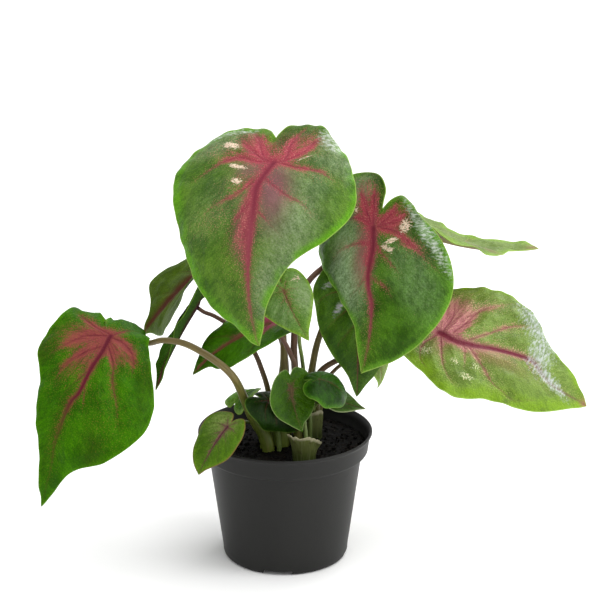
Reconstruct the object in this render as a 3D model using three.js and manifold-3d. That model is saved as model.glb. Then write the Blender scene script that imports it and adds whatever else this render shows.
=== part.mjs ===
// A potted caladium: a plastic nursery pot filled with soil, the tuber in the soil, and seventeen
// heart-shaped leaves, each a thin blade on its own stalk, with papery sheath leaves at their feet.
// Millimetres, +Z up. The origin is the middle of the pot's foot; the plant faces -Y.

import * as THREE from "three";
import { mergeVertices } from "three/addons/utils/BufferGeometryUtils.js";
import Module from "manifold-3d";

const wasm = await Module();
wasm.setup();

// ---- driving dimensions -------------------------------------------------------------------

const GAP = 0.35; // air between two pieces that touch on the real plant

const POT_SIDES = 48;
const POT_HEIGHT = 90;
const RIM_RADIUS = 60;
const COLLAR_RADIUS = 57.6;
const COLLAR_FOOT_Z = 75;
const WALL_TOP_RADIUS = 52.8;
const WALL_FOOT_RADIUS = 43.6;
const WALL = 1.2;
const FLOOR_Z = 3; // underside of the raised floor
const FLOOR_THICKNESS = 1.5;
const FOOT_RING_WIDTH = 4;
const FOOT_PAD_RADIUS = 13;
const NOTCH_COUNT = 4;
const NOTCH_WIDTH = 20;
const NOTCH_HEIGHT = 2.6;
const NOTCH_TURN = -7; // degrees from the front
const DRAIN_HOLES = 8;
const DRAIN_HOLE_RADIUS = 3.5;
const DRAIN_CIRCLE_RADIUS = 29;

const SOIL_TOP = 80;
const SOIL_SIDES = 32;
const HOLE_SIDES = 10;
const TUBER_CENTRE = [4, -2, 42];
const TUBER_RADIUS = 34;
const TUBER_HEIGHT = 34;

const BLADE_THICKNESS = 0.7;
const STALK_SIDES = 8;
const STALK_STEP = 15; // length of stalk between two rings of vertices
const GIRTH_PLACES = [0, 0.22, 0.34, 1]; // where along a stalk its four radii are given

// ---- colours ------------------------------------------------------------------------------

const LEAF_GREEN = "#4f8a34";
const LEAF_DARK = "#2f6a1c";
const LEAF_LIME = "#79a840";
const STALK_OLIVE = "#77733f";
const STALK_BROWN = "#6d5140";
const STALK_GREEN = "#7f9a4c";
const SHEATH_PALE = "#94a06c";

// ---- leaves -------------------------------------------------------------------------------
//
// A blade is drawn flat, as its reach from the stalk's joint in the directions KEY_ANGLES, from the
// tip (0) round to the notch between its two lobes (180). It is then bent: `arch` is the rise of the
// midrib over the straight line from joint to tip, `fold` lifts the halves from the midrib, `curl`
// turns their edges down, `lobeBend` turns the lobes down behind the joint, `roll` and `twist` turn
// the blade about that line, and `wave` ripples its margin. Right and left are the leaf's own, seen
// from above with the tip ahead, and pairs are [left, right]. Angles are in degrees.

const KEY_ANGLES = [0, 7, 20, 40, 65, 92, 120, 146, 166, 180];
const HEART = [1, 0.84, 0.705, 0.6, 0.555, 0.53, 0.505, 0.455, 0.33, 0.14];
const HEART_WIDENING = [0, 0.25, 0.6, 1, 1, 1, 1, 1, 1, 1];

const LEAVES = {
  crown: {
    joint: [-7, -22, 282], tip: [-16, -58, 169], roll: 15, arch: 23, fold: [1, 5], curl: [39, 8],
    lobeBend: 6, twist: 0, notch: 25, notchTurn: -19, wave: 1.2, waves: 7, colour: LEAF_GREEN,
    left: [98, 77, 73, 66, 52, 43, 44, 39], right: [116, 101, 82, 71, 68, 59, 49, 40],
    root: [-3, -4], girth: [6.6, 5.7, 2.5, 2], stalk: STALK_OLIVE,
    route: [[-3, 0, 100], [-1, 7, 125], [-1, 14, 145], [-2, 23, 166], [-3, 24, 190], [-4, 13, 240]],
  },
  right_upper: {
    joint: [59, 6, 231], tip: [51, -28, 140], roll: 20, arch: -4, fold: [6, 3], curl: [24, 34],
    lobeBend: 20, twist: 5, notch: 15, notchTurn: 29, wave: 1, waves: 6, colour: LEAF_GREEN,
    left: [94, 89, 81, 71, 53, 38, 33, 29], right: [68, 56, 52, 55, 49, 44, 39, 32],
    root: [9, 1], girth: [3.4, 2.9, 2.5, 1.7], stalk: STALK_BROWN,
    route: [[8, 4, 100], [7, 10, 125], [6, 16, 145], [8, 22, 165], [15, 30, 185], [27, 38, 195], [43, 31, 208],
      [53, 18, 221]],
  },
  left_hanging: {
    joint: [-118, -26, 165], tip: [-159, -70, 63], roll: -24, arch: 16, fold: [0, 4], curl: [43, 14],
    lobeBend: 99, twist: -6, notch: 13, notchTurn: -32, wave: 1.6, waves: 8, colour: LEAF_GREEN,
    left: [97, 88, 72, 40, 29, 33, 39, 30], right: [91, 70, 52, 46, 41, 36, 39, 32],
    root: [-12, -13], girth: [5.4, 4.4, 3, 1.6], stalk: STALK_OLIVE,
    route: [[-14, -11, 90], [-20, -10, 100], [-26, -12, 113], [-35, -31, 140], [-46, -33, 151], [-66, -28, 161],
      [-81, -21, 161], [-91, -12, 156], [-104, -10, 156]],
  },
  right_wide: {
    joint: [105, -2, 160], tip: [202, -28, 117], roll: 17, arch: 9, fold: [5, 3], curl: [1, 24],
    lobeBend: 15, twist: -12, notch: 15, notchTurn: -4, wave: 1.4, waves: 7, colour: LEAF_LIME,
    left: [97, 75, 67, 63, 49, 43, 38, 29], right: [103, 90, 65, 59, 40, 36, 35, 28],
    root: [21, 12], girth: [3, 2.5, 2.2, 1.6], stalk: STALK_BROWN,
    route: [[22, 13, 105], [23, 13, 125], [35, 15, 134], [53, 17, 138], [70, 13, 141], [88, 5, 148]],
  },
  right_back: {
    joint: [100, 66, 209], tip: [182, 91, 193], roll: 2, arch: -5, fold: [6, 24], curl: [-2, 22],
    lobeBend: 1, twist: -12, notch: 10, notchTurn: 9, wave: 1, waves: 7, colour: LEAF_LIME,
    left: [84, 53, 36, 45, 44, 40, 33, 24], right: [69, 57, 52, 44, 41, 39, 38, 26],
    root: [17, 22], girth: [3.2, 2.6, 2.3, 1.6], stalk: STALK_OLIVE,
    route: [[18, 24, 110], [21, 29, 138], [29, 36, 157], [48, 46, 180], [80, 57, 198]],
  },
  left_back: {
    joint: [-61, 47, 187], tip: [-102, 62, 138], roll: -12, arch: 2, fold: [4, 8], curl: [2, 0],
    lobeBend: 8, twist: 36, notch: 9, notchTurn: -10, wave: 0.8, waves: 6, colour: LEAF_DARK,
    left: [58, 53, 49, 41, 34, 32, 28, 20], right: [53, 50, 54, 37, 35, 32, 28, 21],
    root: [2, 10], girth: [3, 2.4, 2.1, 1.5], stalk: STALK_BROWN,
    route: [[1, 14, 110], [-1, 23, 140], [-12, 35, 160], [-42, 48, 174]],
  },
  left_folded: {
    joint: [-60, 17, 172], tip: [-88, -8, 121], roll: 10, arch: 2, fold: [41, 0], curl: [-1, 49],
    lobeBend: 4, twist: 6, notch: 10, notchTurn: 7, wave: 0.8, waves: 6, colour: LEAF_DARK,
    left: [52, 43, 37, 34, 34, 32, 26, 19], right: [53, 48, 42, 39, 36, 32, 29, 22],
    root: [-9, 8], girth: [2.4, 2.2, 2, 1.4], stalk: STALK_BROWN,
    route: [[-10, 8, 100], [-12, 8, 116], [-16, 10, 129], [-22, 14, 142], [-36, 20, 156], [-49, 20, 165]],
  },
  left_low: {
    joint: [-11, -2, 166], tip: [-63, -7, 132], roll: -18, arch: 5, fold: [9, 6], curl: [11, 17],
    lobeBend: 17, twist: 8, notch: 7, notchTurn: 1, wave: 0.8, waves: 6, colour: LEAF_DARK,
    left: [51, 47, 41, 27, 22, 22, 22, 17], right: [54, 45, 35, 28, 25, 24, 22, 17],
    root: [8, -7], girth: [2.5, 2.4, 2.2, 1.4], stalk: STALK_BROWN,
    route: [[8, -6, 100], [9, -3, 118], [8, 0, 131], [3, 2, 145], [-3, 2, 156]],
  },
  middle: {
    joint: [-1, -14, 194], tip: [16, -41, 168], roll: 11, arch: -3, fold: [4, 2], curl: [20, 24],
    lobeBend: 12, twist: -10, notch: 5, notchTurn: 7, wave: 0.4, waves: 5, colour: LEAF_GREEN,
    width: 0.92, root: [14.5, 7.5], girth: [2, 1.7, 1.5, 1.2], stalk: STALK_GREEN,
    route: [[14, 8, 110], [12, 7, 135], [10, -4, 152], [9, -19, 167], [4, -18, 180]],
  },
  right_shaded: {
    joint: [49, 24, 183], tip: [49, 4, 112], roll: -7, arch: 7, fold: [5, 5], curl: [19, 20],
    lobeBend: 12, twist: 1, notch: 8, notchTurn: -2, wave: 0.9, waves: 6, colour: LEAF_DARK,
    left: [66, 54, 40, 33, 30, 28, 25, 19], right: [60, 50, 40, 32, 30, 27, 24, 19],
    root: [13, 13], girth: [3, 3, 2.8, 1.6], stalk: STALK_OLIVE,
    route: [[15, 14, 105], [18, 16, 125], [22, 19, 145], [28, 23, 160], [43, 27, 177]],
  },
  front_young: {
    joint: [4, -18, 126], tip: [12, -29, 99], roll: -3, arch: -2, fold: [6, 12], curl: [5, 7],
    lobeBend: 2, twist: -13, notch: 9, notchTurn: 7, wave: 0.3, waves: 5, colour: LEAF_GREEN,
    left: [26, 24, 22, 20, 19, 18, 16, 14], right: [28, 25, 23, 21, 19, 17, 15, 13],
    root: [14, -25], girth: [2, 1.8, 1.6, 1.2], stalk: STALK_GREEN,
    route: [[14, -22, 95], [11, -15, 112], [7, -13, 121]],
  },
  front_curled: {
    joint: [23, -22, 134], tip: [41, -18, 118], roll: 28, arch: 4, fold: [1, 1], curl: [39, 25],
    lobeBend: 40, twist: -10, notch: 5, notchTurn: -7, wave: 0.4, waves: 5, colour: LEAF_DARK,
    left: [28, 25, 22, 21, 19, 17, 15, 11], right: [27, 27, 24, 22, 18, 17, 14, 10],
    root: [17, -1], girth: [2, 1.8, 1.6, 1.2], stalk: STALK_GREEN,
    route: [[17, 0, 97], [16, 3, 112], [16, 3, 123], [20, -3, 130], [22, -14, 131]],
  },
  rim_right: {
    joint: [31, -6, 116], tip: [55, -7, 107], roll: 18, arch: -1, fold: [5, 6], curl: [12, 4],
    lobeBend: 12, twist: -2, notch: 4, notchTurn: -1, wave: 0.4, waves: 5, colour: LEAF_DARK,
    width: 1.05, root: [18.5, 7.5], girth: [1.5, 1.5, 1.5, 1.2], stalk: STALK_GREEN,
    route: [[19, 8, 96], [20, 6, 104], [25, 1, 110]],
  },
  front_left: {
    joint: [-11, -23, 119], tip: [8, -20, 95], roll: 41, arch: 5, fold: [0, 11], curl: [52, 66],
    lobeBend: 30, twist: -31, notch: 6, notchTurn: 2, wave: 0.4, waves: 5, colour: LEAF_DARK,
    left: [33, 28, 26, 24, 21, 19, 17, 13], right: [30, 27, 24, 22, 18, 17, 16, 13],
    root: [-4, -14], girth: [2.2, 2, 1.8, 1.2], stalk: STALK_GREEN,
    route: [[-5, -13, 92], [-8, -14, 103], [-10, -17, 111]],
  },
  rim_left: {
    joint: [-38, -37, 106], tip: [-57, -53, 78], roll: -8, arch: 2, fold: [5, 8], curl: [13, 7],
    lobeBend: 19, twist: 2, notch: 4, notchTurn: 2, wave: 0.5, waves: 5, colour: LEAF_LIME,
    left: [33, 29, 25, 19, 15, 13, 12, 9], right: [35, 30, 23, 20, 17, 15, 12, 9],
    root: [-15, 3], girth: [1.6, 1.4, 1.3, 1.1], stalk: STALK_GREEN,
    route: [[-17, 2, 89], [-23, -2, 95], [-29, -11, 99], [-33, -24, 103]],
  },
  back_left: {
    joint: [-32, 11, 108], tip: [-17, 25, 110], roll: -1, arch: 2, fold: [0, 9], curl: [20, -9],
    lobeBend: 49, twist: 11, notch: 4, notchTurn: 10, wave: 0.3, waves: 5, colour: LEAF_LIME,
    left: [19, 17, 16, 16, 15, 14, 11, 9], right: [19, 17, 16, 15, 14, 14, 12, 9],
    root: [-16, 9], girth: [1.8, 1.6, 1.5, 1.1], stalk: STALK_GREEN,
    route: [[-19, 10, 92], [-27, 11, 99]],
  },
  right_young: {
    joint: [61, 40, 132], tip: [65, 37, 106], roll: -2, arch: 5, fold: [4, 4], curl: [21, 20],
    lobeBend: 10, twist: 0, notch: 4, notchTurn: 0, wave: 0.4, waves: 5, colour: LEAF_LIME,
    width: 1, root: [24, 23], girth: [1.8, 1.7, 1.6, 1.2], stalk: STALK_BROWN,
    route: [[25, 24, 100], [30, 28, 117], [43, 34, 127], [55, 38, 127]],
  },
};

// Papery sheath leaves: a curved strip round the foot of some stalks. [from, to] is the arc in
// degrees from +X, `heights` the height of its torn upper edge along that arc, in equal steps.
const SHEATHS = {
  sheath_front: { centre: [13, -28], radius: 7.4, flare: 4, arc: [185, 385],
    heights: [17, 19, 18, 19, 16, 12, 8], bottom: 78 },
  sheath_right: { centre: [17, 12], radius: 8.6, flare: 0.6, arc: [-125, 8],
    heights: [13, 19, 21, 20, 14], bottom: 78 },
};

// ---- helpers ------------------------------------------------------------------------------

const radians = THREE.MathUtils.degToRad;

/** Keeps only the positions and joins the vertices that coincide. */
function welded(geometry) {
  geometry.deleteAttribute("normal");
  geometry.deleteAttribute("uv");
  return mergeVertices(geometry, 1e-4);
}

/** A geometry as a solid that can be joined and cut. */
function solid(geometry) {
  const clean = welded(geometry);
  return new wasm.Manifold(new wasm.Mesh({
    numProp: 3,
    vertProperties: new Float32Array(clean.attributes.position.array),
    triVerts: new Uint32Array(clean.index.array),
  }));
}

/** A joined or cut solid as a geometry again. */
function geometryOf(body) {
  const mesh = body.getMesh();
  const geometry = new THREE.BufferGeometry();
  geometry.setAttribute("position", new THREE.BufferAttribute(new Float32Array(mesh.vertProperties), 3));
  geometry.setIndex(new THREE.BufferAttribute(new Uint32Array(mesh.triVerts), 1));
  geometry.computeVertexNormals();
  return geometry;
}

/** A geometry from a list of points and a list of triangles. */
function fromFaces(points, faces) {
  const geometry = new THREE.BufferGeometry().setFromPoints(points);
  geometry.setIndex(faces.flat());
  geometry.computeVertexNormals();
  return geometry;
}

/** A turned body from [radius, height] pairs, standing on Z. */
function turned(profile, sides) {
  const points = profile.map(([radius, height]) => new THREE.Vector2(radius, height));
  return new THREE.LatheGeometry(points, sides).rotateX(Math.PI / 2);
}

function named(name, geometry, colour, roughness) {
  const material = new THREE.MeshStandardMaterial({ color: colour, roughness, metalness: 0 });
  const mesh = new THREE.Mesh(geometry, material);
  mesh.name = name;
  return mesh;
}

/** A smooth curve through (xs, ys), read at x. */
function smoothRead(xs, ys, x) {
  const last = xs.length - 1;
  const slope = (i) => {
    const from = Math.max(i - 1, 0);
    const to = Math.min(i + 1, last);
    return (ys[to] - ys[from]) / (xs[to] - xs[from]);
  };
  let i = 0;
  while (i < last - 1 && x >= xs[i + 1]) i += 1;
  const span = xs[i + 1] - xs[i];
  const s = (x - xs[i]) / span;
  const a = 2 * s ** 3 - 3 * s ** 2 + 1;
  const b = s ** 3 - 2 * s ** 2 + s;
  const c = -2 * s ** 3 + 3 * s ** 2;
  const d = s ** 3 - s ** 2;
  return a * ys[i] + b * span * slope(i) + c * ys[i + 1] + d * span * slope(i + 1);
}

/** Where a bent strip that starts at slope `start` and turns by `bend` per mm is, `run` mm along. */
function bent(start, bend, run) {
  const rate = Math.abs(bend) < 1e-9 ? 1e-9 : bend;
  const end = start + rate * run;
  return [(Math.sin(end) - Math.sin(start)) / rate, (Math.cos(start) - Math.cos(end)) / rate];
}

// ---- blades -------------------------------------------------------------------------------

/** The blade's axes at the straight line from joint to tip, and the bend of its midrib. */
function bladeFrame(leaf) {
  const joint = new THREE.Vector3(...leaf.joint);
  const along = new THREE.Vector3(...leaf.tip).sub(joint);
  const chord = along.length();
  along.normalize();
  const up = new THREE.Vector3(0, 0, 1);
  up.addScaledVector(along, -along.z).normalize().applyAxisAngle(along, radians(leaf.roll));
  const right = new THREE.Vector3().crossVectors(along, up);
  const turn = 4 * Math.atan2(2 * leaf.arch, chord);
  const length = leaf.arch === 0 ? chord : (chord * turn) / (2 * Math.sin(turn / 2));
  return { joint, along, up, right, turn, length };
}

/** Half a blade's outline: its reach in mm at each of the key angles. */
function reachOf(leaf, side, length) {
  if (leaf[side]) return [length, ...leaf[side], leaf.notch];
  return HEART.map((share, i) => share * length * (1 + (leaf.width - 1) * HEART_WIDENING[i]));
}

/** The flat outline as [angle, reach] pairs, right side from tip to notch, then left side back. */
function flatOutline(leaf, length, steps) {
  const angles = [];
  for (let i = 0; i < KEY_ANGLES.length - 1; i += 1) {
    for (let k = 0; k < steps; k += 1) {
      angles.push(KEY_ANGLES[i] + ((KEY_ANGLES[i + 1] - KEY_ANGLES[i]) * k) / steps);
    }
  }
  const half = (side, sign) => {
    const reach = reachOf(leaf, side, length);
    const share = (180 + sign * leaf.notchTurn) / 180;
    return [...angles, 180].map((angle) => [
      sign * radians(angle * share), smoothRead(KEY_ANGLES, reach, angle),
    ]);
  };
  return [...half("right", 1), ...half("left", -1).slice(1, -1).reverse()];
}

/** The place on the bent blade of a flat point: `angle` from the tip, `share` of its full reach. */
function bladePoint(leaf, frame, angle, reach, share) {
  const ahead = reach * share * Math.cos(angle);
  const aside = reach * share * Math.sin(angle);
  const { joint, along, up, right, turn, length } = frame;
  const bend = ahead >= 0 ? -turn / length : -radians(leaf.lobeBend) / (0.4 * length);
  const [run, rise] = bent(turn / 2, bend, ahead);
  const slope = turn / 2 + bend * ahead;
  const side = aside >= 0 ? 1 : 0;
  const curl = -radians(leaf.curl[side]) / (0.5 * length);
  const [outFlat, lift] = bent(radians(leaf.fold[side]), curl, Math.abs(aside));
  const out = aside >= 0 ? outFlat : -outFlat;
  const twist = (radians(leaf.twist) * ahead) / length;
  const ripple = leaf.wave * share ** 3 * Math.sin(leaf.waves * angle);
  const across = out * Math.cos(twist) - lift * Math.sin(twist);
  const raise = out * Math.sin(twist) + lift * Math.cos(twist) + ripple;
  return joint.clone()
    .addScaledVector(along, run - raise * Math.sin(slope))
    .addScaledVector(up, rise + raise * Math.cos(slope))
    .addScaledVector(right, across);
}

/** The blade as one thin body, both faces split into the same triangles. */
function bladeGeometry(leaf) {
  const frame = bladeFrame(leaf);
  const large = frame.length > 60;
  const rings = large ? 4 : 3;
  const outline = flatOutline(leaf, frame.length, large ? 2 : 1);
  const count = outline.length;
  const top = [frame.joint.clone()];
  for (let ring = 1; ring <= rings; ring += 1) {
    for (const [angle, reach] of outline) {
      top.push(bladePoint(leaf, frame, angle, reach, ring / rings));
    }
  }
  const faces = [];
  for (let i = 0; i < count; i += 1) faces.push([0, 1 + ((i + 1) % count), 1 + i]);
  for (let ring = 1; ring < rings; ring += 1) {
    const inner = 1 + (ring - 1) * count;
    const outer = inner + count;
    for (let i = 0; i < count; i += 1) {
      const next = (i + 1) % count;
      faces.push([inner + i, outer + next, outer + i], [inner + i, inner + next, outer + next]);
    }
  }
  const normals = fromFaces(top, faces).attributes.normal;
  const bottom = top.map((point, i) => {
    const normal = new THREE.Vector3().fromBufferAttribute(normals, i);
    return point.clone().addScaledVector(normal, -BLADE_THICKNESS);
  });
  const under = top.length;
  const all = [...faces, ...faces.map(([a, b, c]) => [a + under, c + under, b + under])];
  const edge = 1 + (rings - 1) * count;
  for (let i = 0; i < count; i += 1) {
    const here = edge + i;
    const next = edge + ((i + 1) % count);
    all.push([here, next, next + under], [here, next + under, here + under]);
  }
  return fromFaces([...top, ...bottom], all);
}

// ---- stalks -------------------------------------------------------------------------------

/** The height of the tuber's skin under a stalk. */
function tuberTop({ root: [x, y], girth: [radius] }) {
  const away = Math.hypot(x - TUBER_CENTRE[0], y - TUBER_CENTRE[1]) - radius;
  return TUBER_CENTRE[2] + (TUBER_HEIGHT / 2) * Math.sqrt(1 - Math.max(away / TUBER_RADIUS, 0) ** 2);
}

/** The stalk's centre line, from its foot on the tuber to just under the blade's joint. */
function stalkCurve(leaf) {
  const frame = bladeFrame(leaf);
  const slope = frame.turn / 2;
  const normal = frame.up.clone().multiplyScalar(Math.cos(slope))
    .addScaledVector(frame.along, -Math.sin(slope));
  const [x, y] = leaf.root;
  const route = leaf.route.map((point) => new THREE.Vector3(...point));
  const before = route[route.length - 1];
  const end = frame.joint.clone().addScaledVector(normal, -(BLADE_THICKNESS + GAP + leaf.girth[3] * 0.35));
  const near = end.clone().addScaledVector(normal, -4).lerp(before, 0.12);
  return new THREE.CatmullRomCurve3([
    new THREE.Vector3(x, y, tuberTop(leaf) + GAP), new THREE.Vector3(x, y, SOIL_TOP + 2), ...route, near, end,
  ], false, "centripetal");
}

/** A stalk: a tapering turned rod bent along its centre line. */
function stalkGeometry(leaf) {
  const curve = stalkCurve(leaf);
  const steps = Math.ceil(curve.getLength() / STALK_STEP) + 1;
  const frames = curve.computeFrenetFrames(steps, false);
  const profile = [new THREE.Vector2(0, 0)];
  for (let i = 0; i <= steps; i += 1) {
    const share = i / steps;
    profile.push(new THREE.Vector2(smoothRead(GIRTH_PLACES, leaf.girth, share), share));
  }
  profile.push(new THREE.Vector2(0, 1));
  const rod = welded(new THREE.LatheGeometry(profile, STALK_SIDES));
  const position = rod.attributes.position;
  for (let i = 0; i < position.count; i += 1) {
    const step = Math.round(position.getY(i) * steps);
    const point = curve.getPointAt(step / steps)
      .addScaledVector(frames.normals[step], position.getX(i))
      .addScaledVector(frames.binormals[step], -position.getZ(i));
    position.setXYZ(i, point.x, point.y, point.z);
  }
  rod.computeVertexNormals();
  return rod;
}

// ---- sheath leaves ------------------------------------------------------------------------

/** A papery strip standing round some stalks, as one thin body. */
function sheathGeometry(sheath) {
  const across = 12;
  const levels = 3;
  const heightAt = (share) => {
    const places = sheath.heights.map((_, i) => i / (sheath.heights.length - 1));
    return smoothRead(places, sheath.heights, share);
  };
  const layer = (inset) => {
    const points = [];
    for (let level = 0; level <= levels; level += 1) {
      for (let i = 0; i <= across; i += 1) {
        const share = i / across;
        const angle = radians(THREE.MathUtils.lerp(...sheath.arc, share));
        const up = level / levels;
        const radius = sheath.radius + sheath.flare * up * up - inset;
        points.push(new THREE.Vector3(
          sheath.centre[0] + radius * Math.cos(angle),
          sheath.centre[1] + radius * Math.sin(angle),
          sheath.bottom + heightAt(share) * up + (SOIL_TOP - sheath.bottom) * Math.min(up * 3, 1),
        ));
      }
    }
    return points;
  };
  const outer = layer(0);
  const inner = layer(BLADE_THICKNESS);
  const row = across + 1;
  const shift = outer.length;
  const faces = [];
  for (let level = 0; level < levels; level += 1) {
    for (let i = 0; i < across; i += 1) {
      const a = level * row + i;
      const quad = [a, a + 1, a + 1 + row, a + row];
      faces.push([quad[0], quad[1], quad[2]], [quad[0], quad[2], quad[3]]);
      faces.push([quad[2] + shift, quad[1] + shift, quad[0] + shift]);
      faces.push([quad[3] + shift, quad[2] + shift, quad[0] + shift]);
    }
  }
  const edge = [];
  for (let i = 0; i < across; i += 1) edge.push([i, i + 1]);
  for (let level = 0; level < levels; level += 1) {
    edge.push([level * row + across, (level + 1) * row + across]);
  }
  for (let i = across; i > 0; i -= 1) edge.push([levels * row + i, levels * row + i - 1]);
  for (let level = levels; level > 0; level -= 1) edge.push([level * row, (level - 1) * row]);
  for (const [from, to] of edge) {
    faces.push([to, from, from + shift], [to, from + shift, to + shift]);
  }
  return fromFaces([...outer, ...inner], faces);
}

// ---- pot, soil and tuber ------------------------------------------------------------------

/** The pot's inner radius at a height, up to the foot of its collar. */
function innerRadius(height) {
  const share = (height - 6) / (COLLAR_FOOT_Z - 8);
  return THREE.MathUtils.lerp(WALL_FOOT_RADIUS, WALL_TOP_RADIUS, share) - WALL;
}

function potGeometry() {
  const ring = WALL_FOOT_RADIUS - FOOT_RING_WIDTH;
  const floorTop = FLOOR_Z + FLOOR_THICKNESS;
  const outside = [
    [0, 0], [FOOT_PAD_RADIUS, 0], [FOOT_PAD_RADIUS + 1, FLOOR_Z], [ring - 1, FLOOR_Z], [ring, 0],
    [WALL_FOOT_RADIUS - 2, 0], [WALL_FOOT_RADIUS - 0.8, 0.8], [WALL_FOOT_RADIUS - 0.2, 2.6],
    [WALL_FOOT_RADIUS, 6], [WALL_TOP_RADIUS, COLLAR_FOOT_Z - 2], [WALL_TOP_RADIUS + 0.6, COLLAR_FOOT_Z - 1],
    [COLLAR_RADIUS - 1.6, COLLAR_FOOT_Z], [COLLAR_RADIUS - 0.4, COLLAR_FOOT_Z + 2],
    [COLLAR_RADIUS + 0.8, POT_HEIGHT - 4], [RIM_RADIUS - 0.8, POT_HEIGHT - 2],
    [RIM_RADIUS, POT_HEIGHT - 1.4], [RIM_RADIUS, POT_HEIGHT - 0.4], [RIM_RADIUS - 0.4, POT_HEIGHT],
    [RIM_RADIUS - 1.6, POT_HEIGHT],
  ];
  const inside = [
    [COLLAR_RADIUS - 0.6, POT_HEIGHT - 4], [COLLAR_RADIUS - 1.6, COLLAR_FOOT_Z + 2.4],
    [innerRadius(COLLAR_FOOT_Z), COLLAR_FOOT_Z + 0.6], [innerRadius(8), 8],
    [innerRadius(8) - 2, floorTop], [0, floorTop],
  ];
  let pot = solid(turned([...outside, ...inside], POT_SIDES));
  for (let i = 0; i < NOTCH_COUNT; i += 1) {
    const angle = radians(NOTCH_TURN + (360 / NOTCH_COUNT) * i);
    const notch = new THREE.BoxGeometry(NOTCH_WIDTH, 12, 2 * NOTCH_HEIGHT)
      .translate(0, -WALL_FOOT_RADIUS, 0).rotateZ(angle);
    pot = pot.subtract(solid(notch));
  }
  for (let i = 0; i < DRAIN_HOLES; i += 1) {
    const angle = radians((360 / DRAIN_HOLES) * (i + 0.5));
    const hole = new THREE.CylinderGeometry(DRAIN_HOLE_RADIUS, DRAIN_HOLE_RADIUS, 8, 10)
      .rotateX(Math.PI / 2)
      .translate(DRAIN_CIRCLE_RADIUS * Math.cos(angle), DRAIN_CIRCLE_RADIUS * Math.sin(angle), FLOOR_Z + 1);
    pot = pot.subtract(solid(hole));
  }
  return geometryOf(pot);
}

function tuberGeometry(extra) {
  const [x, y, z] = TUBER_CENTRE;
  return new THREE.SphereGeometry(1, 18, 8).rotateX(Math.PI / 2)
    .scale(TUBER_RADIUS + extra, TUBER_RADIUS + extra, TUBER_HEIGHT / 2 + extra)
    .translate(x, y, z);
}

/** The soil: it fills the pot, with a plain hole for each stalk and the tuber's hollow. */
function soilGeometry() {
  const floor = FLOOR_Z + FLOOR_THICKNESS + GAP;
  const side = innerRadius(COLLAR_FOOT_Z) - GAP;
  const profile = [
    [0, floor], [innerRadius(8) - 2.6, floor], [innerRadius(8) - GAP - 0.1, 8],
    [side, COLLAR_FOOT_Z + 1.4], [side + 2.8, COLLAR_FOOT_Z + 3.4], [side + 3.2, SOIL_TOP - 1.2],
    [side - 4, SOIL_TOP - 0.8], [30, SOIL_TOP + 0.4], [14, SOIL_TOP - 0.4], [0, SOIL_TOP],
  ];
  let soil = solid(turned(profile, SOIL_SIDES)).subtract(solid(tuberGeometry(GAP)));
  for (const leaf of Object.values(LEAVES)) {
    const foot = tuberTop(leaf) - 8;
    const radius = (leaf.girth[0] + GAP) / Math.cos(Math.PI / HOLE_SIDES);
    const hole = new THREE.CylinderGeometry(radius, radius, 90 - foot, HOLE_SIDES)
      .rotateX(Math.PI / 2)
      .translate(...leaf.root, (90 + foot) / 2);
    soil = soil.subtract(solid(hole));
  }
  for (const sheath of Object.values(SHEATHS)) {
    const pocket = new THREE.CylinderGeometry(sheath.radius + 0.8, sheath.radius + 0.8, 8, 20)
      .rotateX(Math.PI / 2)
      .translate(...sheath.centre, sheath.bottom + 4 - GAP);
    soil = soil.subtract(solid(pocket));
  }
  return geometryOf(soil);
}

// ---- assembly -----------------------------------------------------------------------------

const plant = new THREE.Group();
plant.add(named("pot", potGeometry(), "#33332f", 0.55));
plant.add(named("soil", soilGeometry(), "#15120f", 0.95));
plant.add(named("tuber", tuberGeometry(0), "#5a4330", 0.85));
for (const [name, sheath] of Object.entries(SHEATHS)) {
  plant.add(named(name, sheathGeometry(sheath), SHEATH_PALE, 0.6));
}
for (const [name, leaf] of Object.entries(LEAVES)) {
  plant.add(named(`stalk_${name}`, stalkGeometry(leaf), leaf.stalk, 0.5));
  plant.add(named(`blade_${name}`, bladeGeometry(leaf), leaf.colour, 0.45));
}

export default plant;
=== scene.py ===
"""A potted caladium: its nursery pot, the soil, the papery sheaths and seventeen coloured leaves.

Every blade, stalk and sheath is laid on the same line as its solid, with finer relief and colour.
"""

import logging
import math
from collections.abc import Callable
from dataclasses import dataclass, field, replace
from enum import Enum
from typing import Any

import bpy
import numpy as np
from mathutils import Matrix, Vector

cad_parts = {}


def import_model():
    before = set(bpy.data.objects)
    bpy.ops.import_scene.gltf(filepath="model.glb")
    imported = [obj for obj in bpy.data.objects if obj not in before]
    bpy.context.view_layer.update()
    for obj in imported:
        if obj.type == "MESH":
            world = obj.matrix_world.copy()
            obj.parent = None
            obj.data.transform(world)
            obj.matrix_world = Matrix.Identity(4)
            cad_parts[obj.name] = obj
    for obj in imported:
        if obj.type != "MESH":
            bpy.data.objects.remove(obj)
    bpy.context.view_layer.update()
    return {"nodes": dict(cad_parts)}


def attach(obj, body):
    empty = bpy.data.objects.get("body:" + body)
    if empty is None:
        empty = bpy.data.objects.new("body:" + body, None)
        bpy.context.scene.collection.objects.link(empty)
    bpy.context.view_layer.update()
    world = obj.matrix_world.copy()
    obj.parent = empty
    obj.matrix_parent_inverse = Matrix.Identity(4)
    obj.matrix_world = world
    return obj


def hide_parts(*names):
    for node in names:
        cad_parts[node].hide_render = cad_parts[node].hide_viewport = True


log = logging.getLogger("caladium")

MM = 0.001
Point = tuple[float, float, float]
Spot = tuple[float, float]


# ---- shader arithmetic -------------------------------------------------------------------


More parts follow.
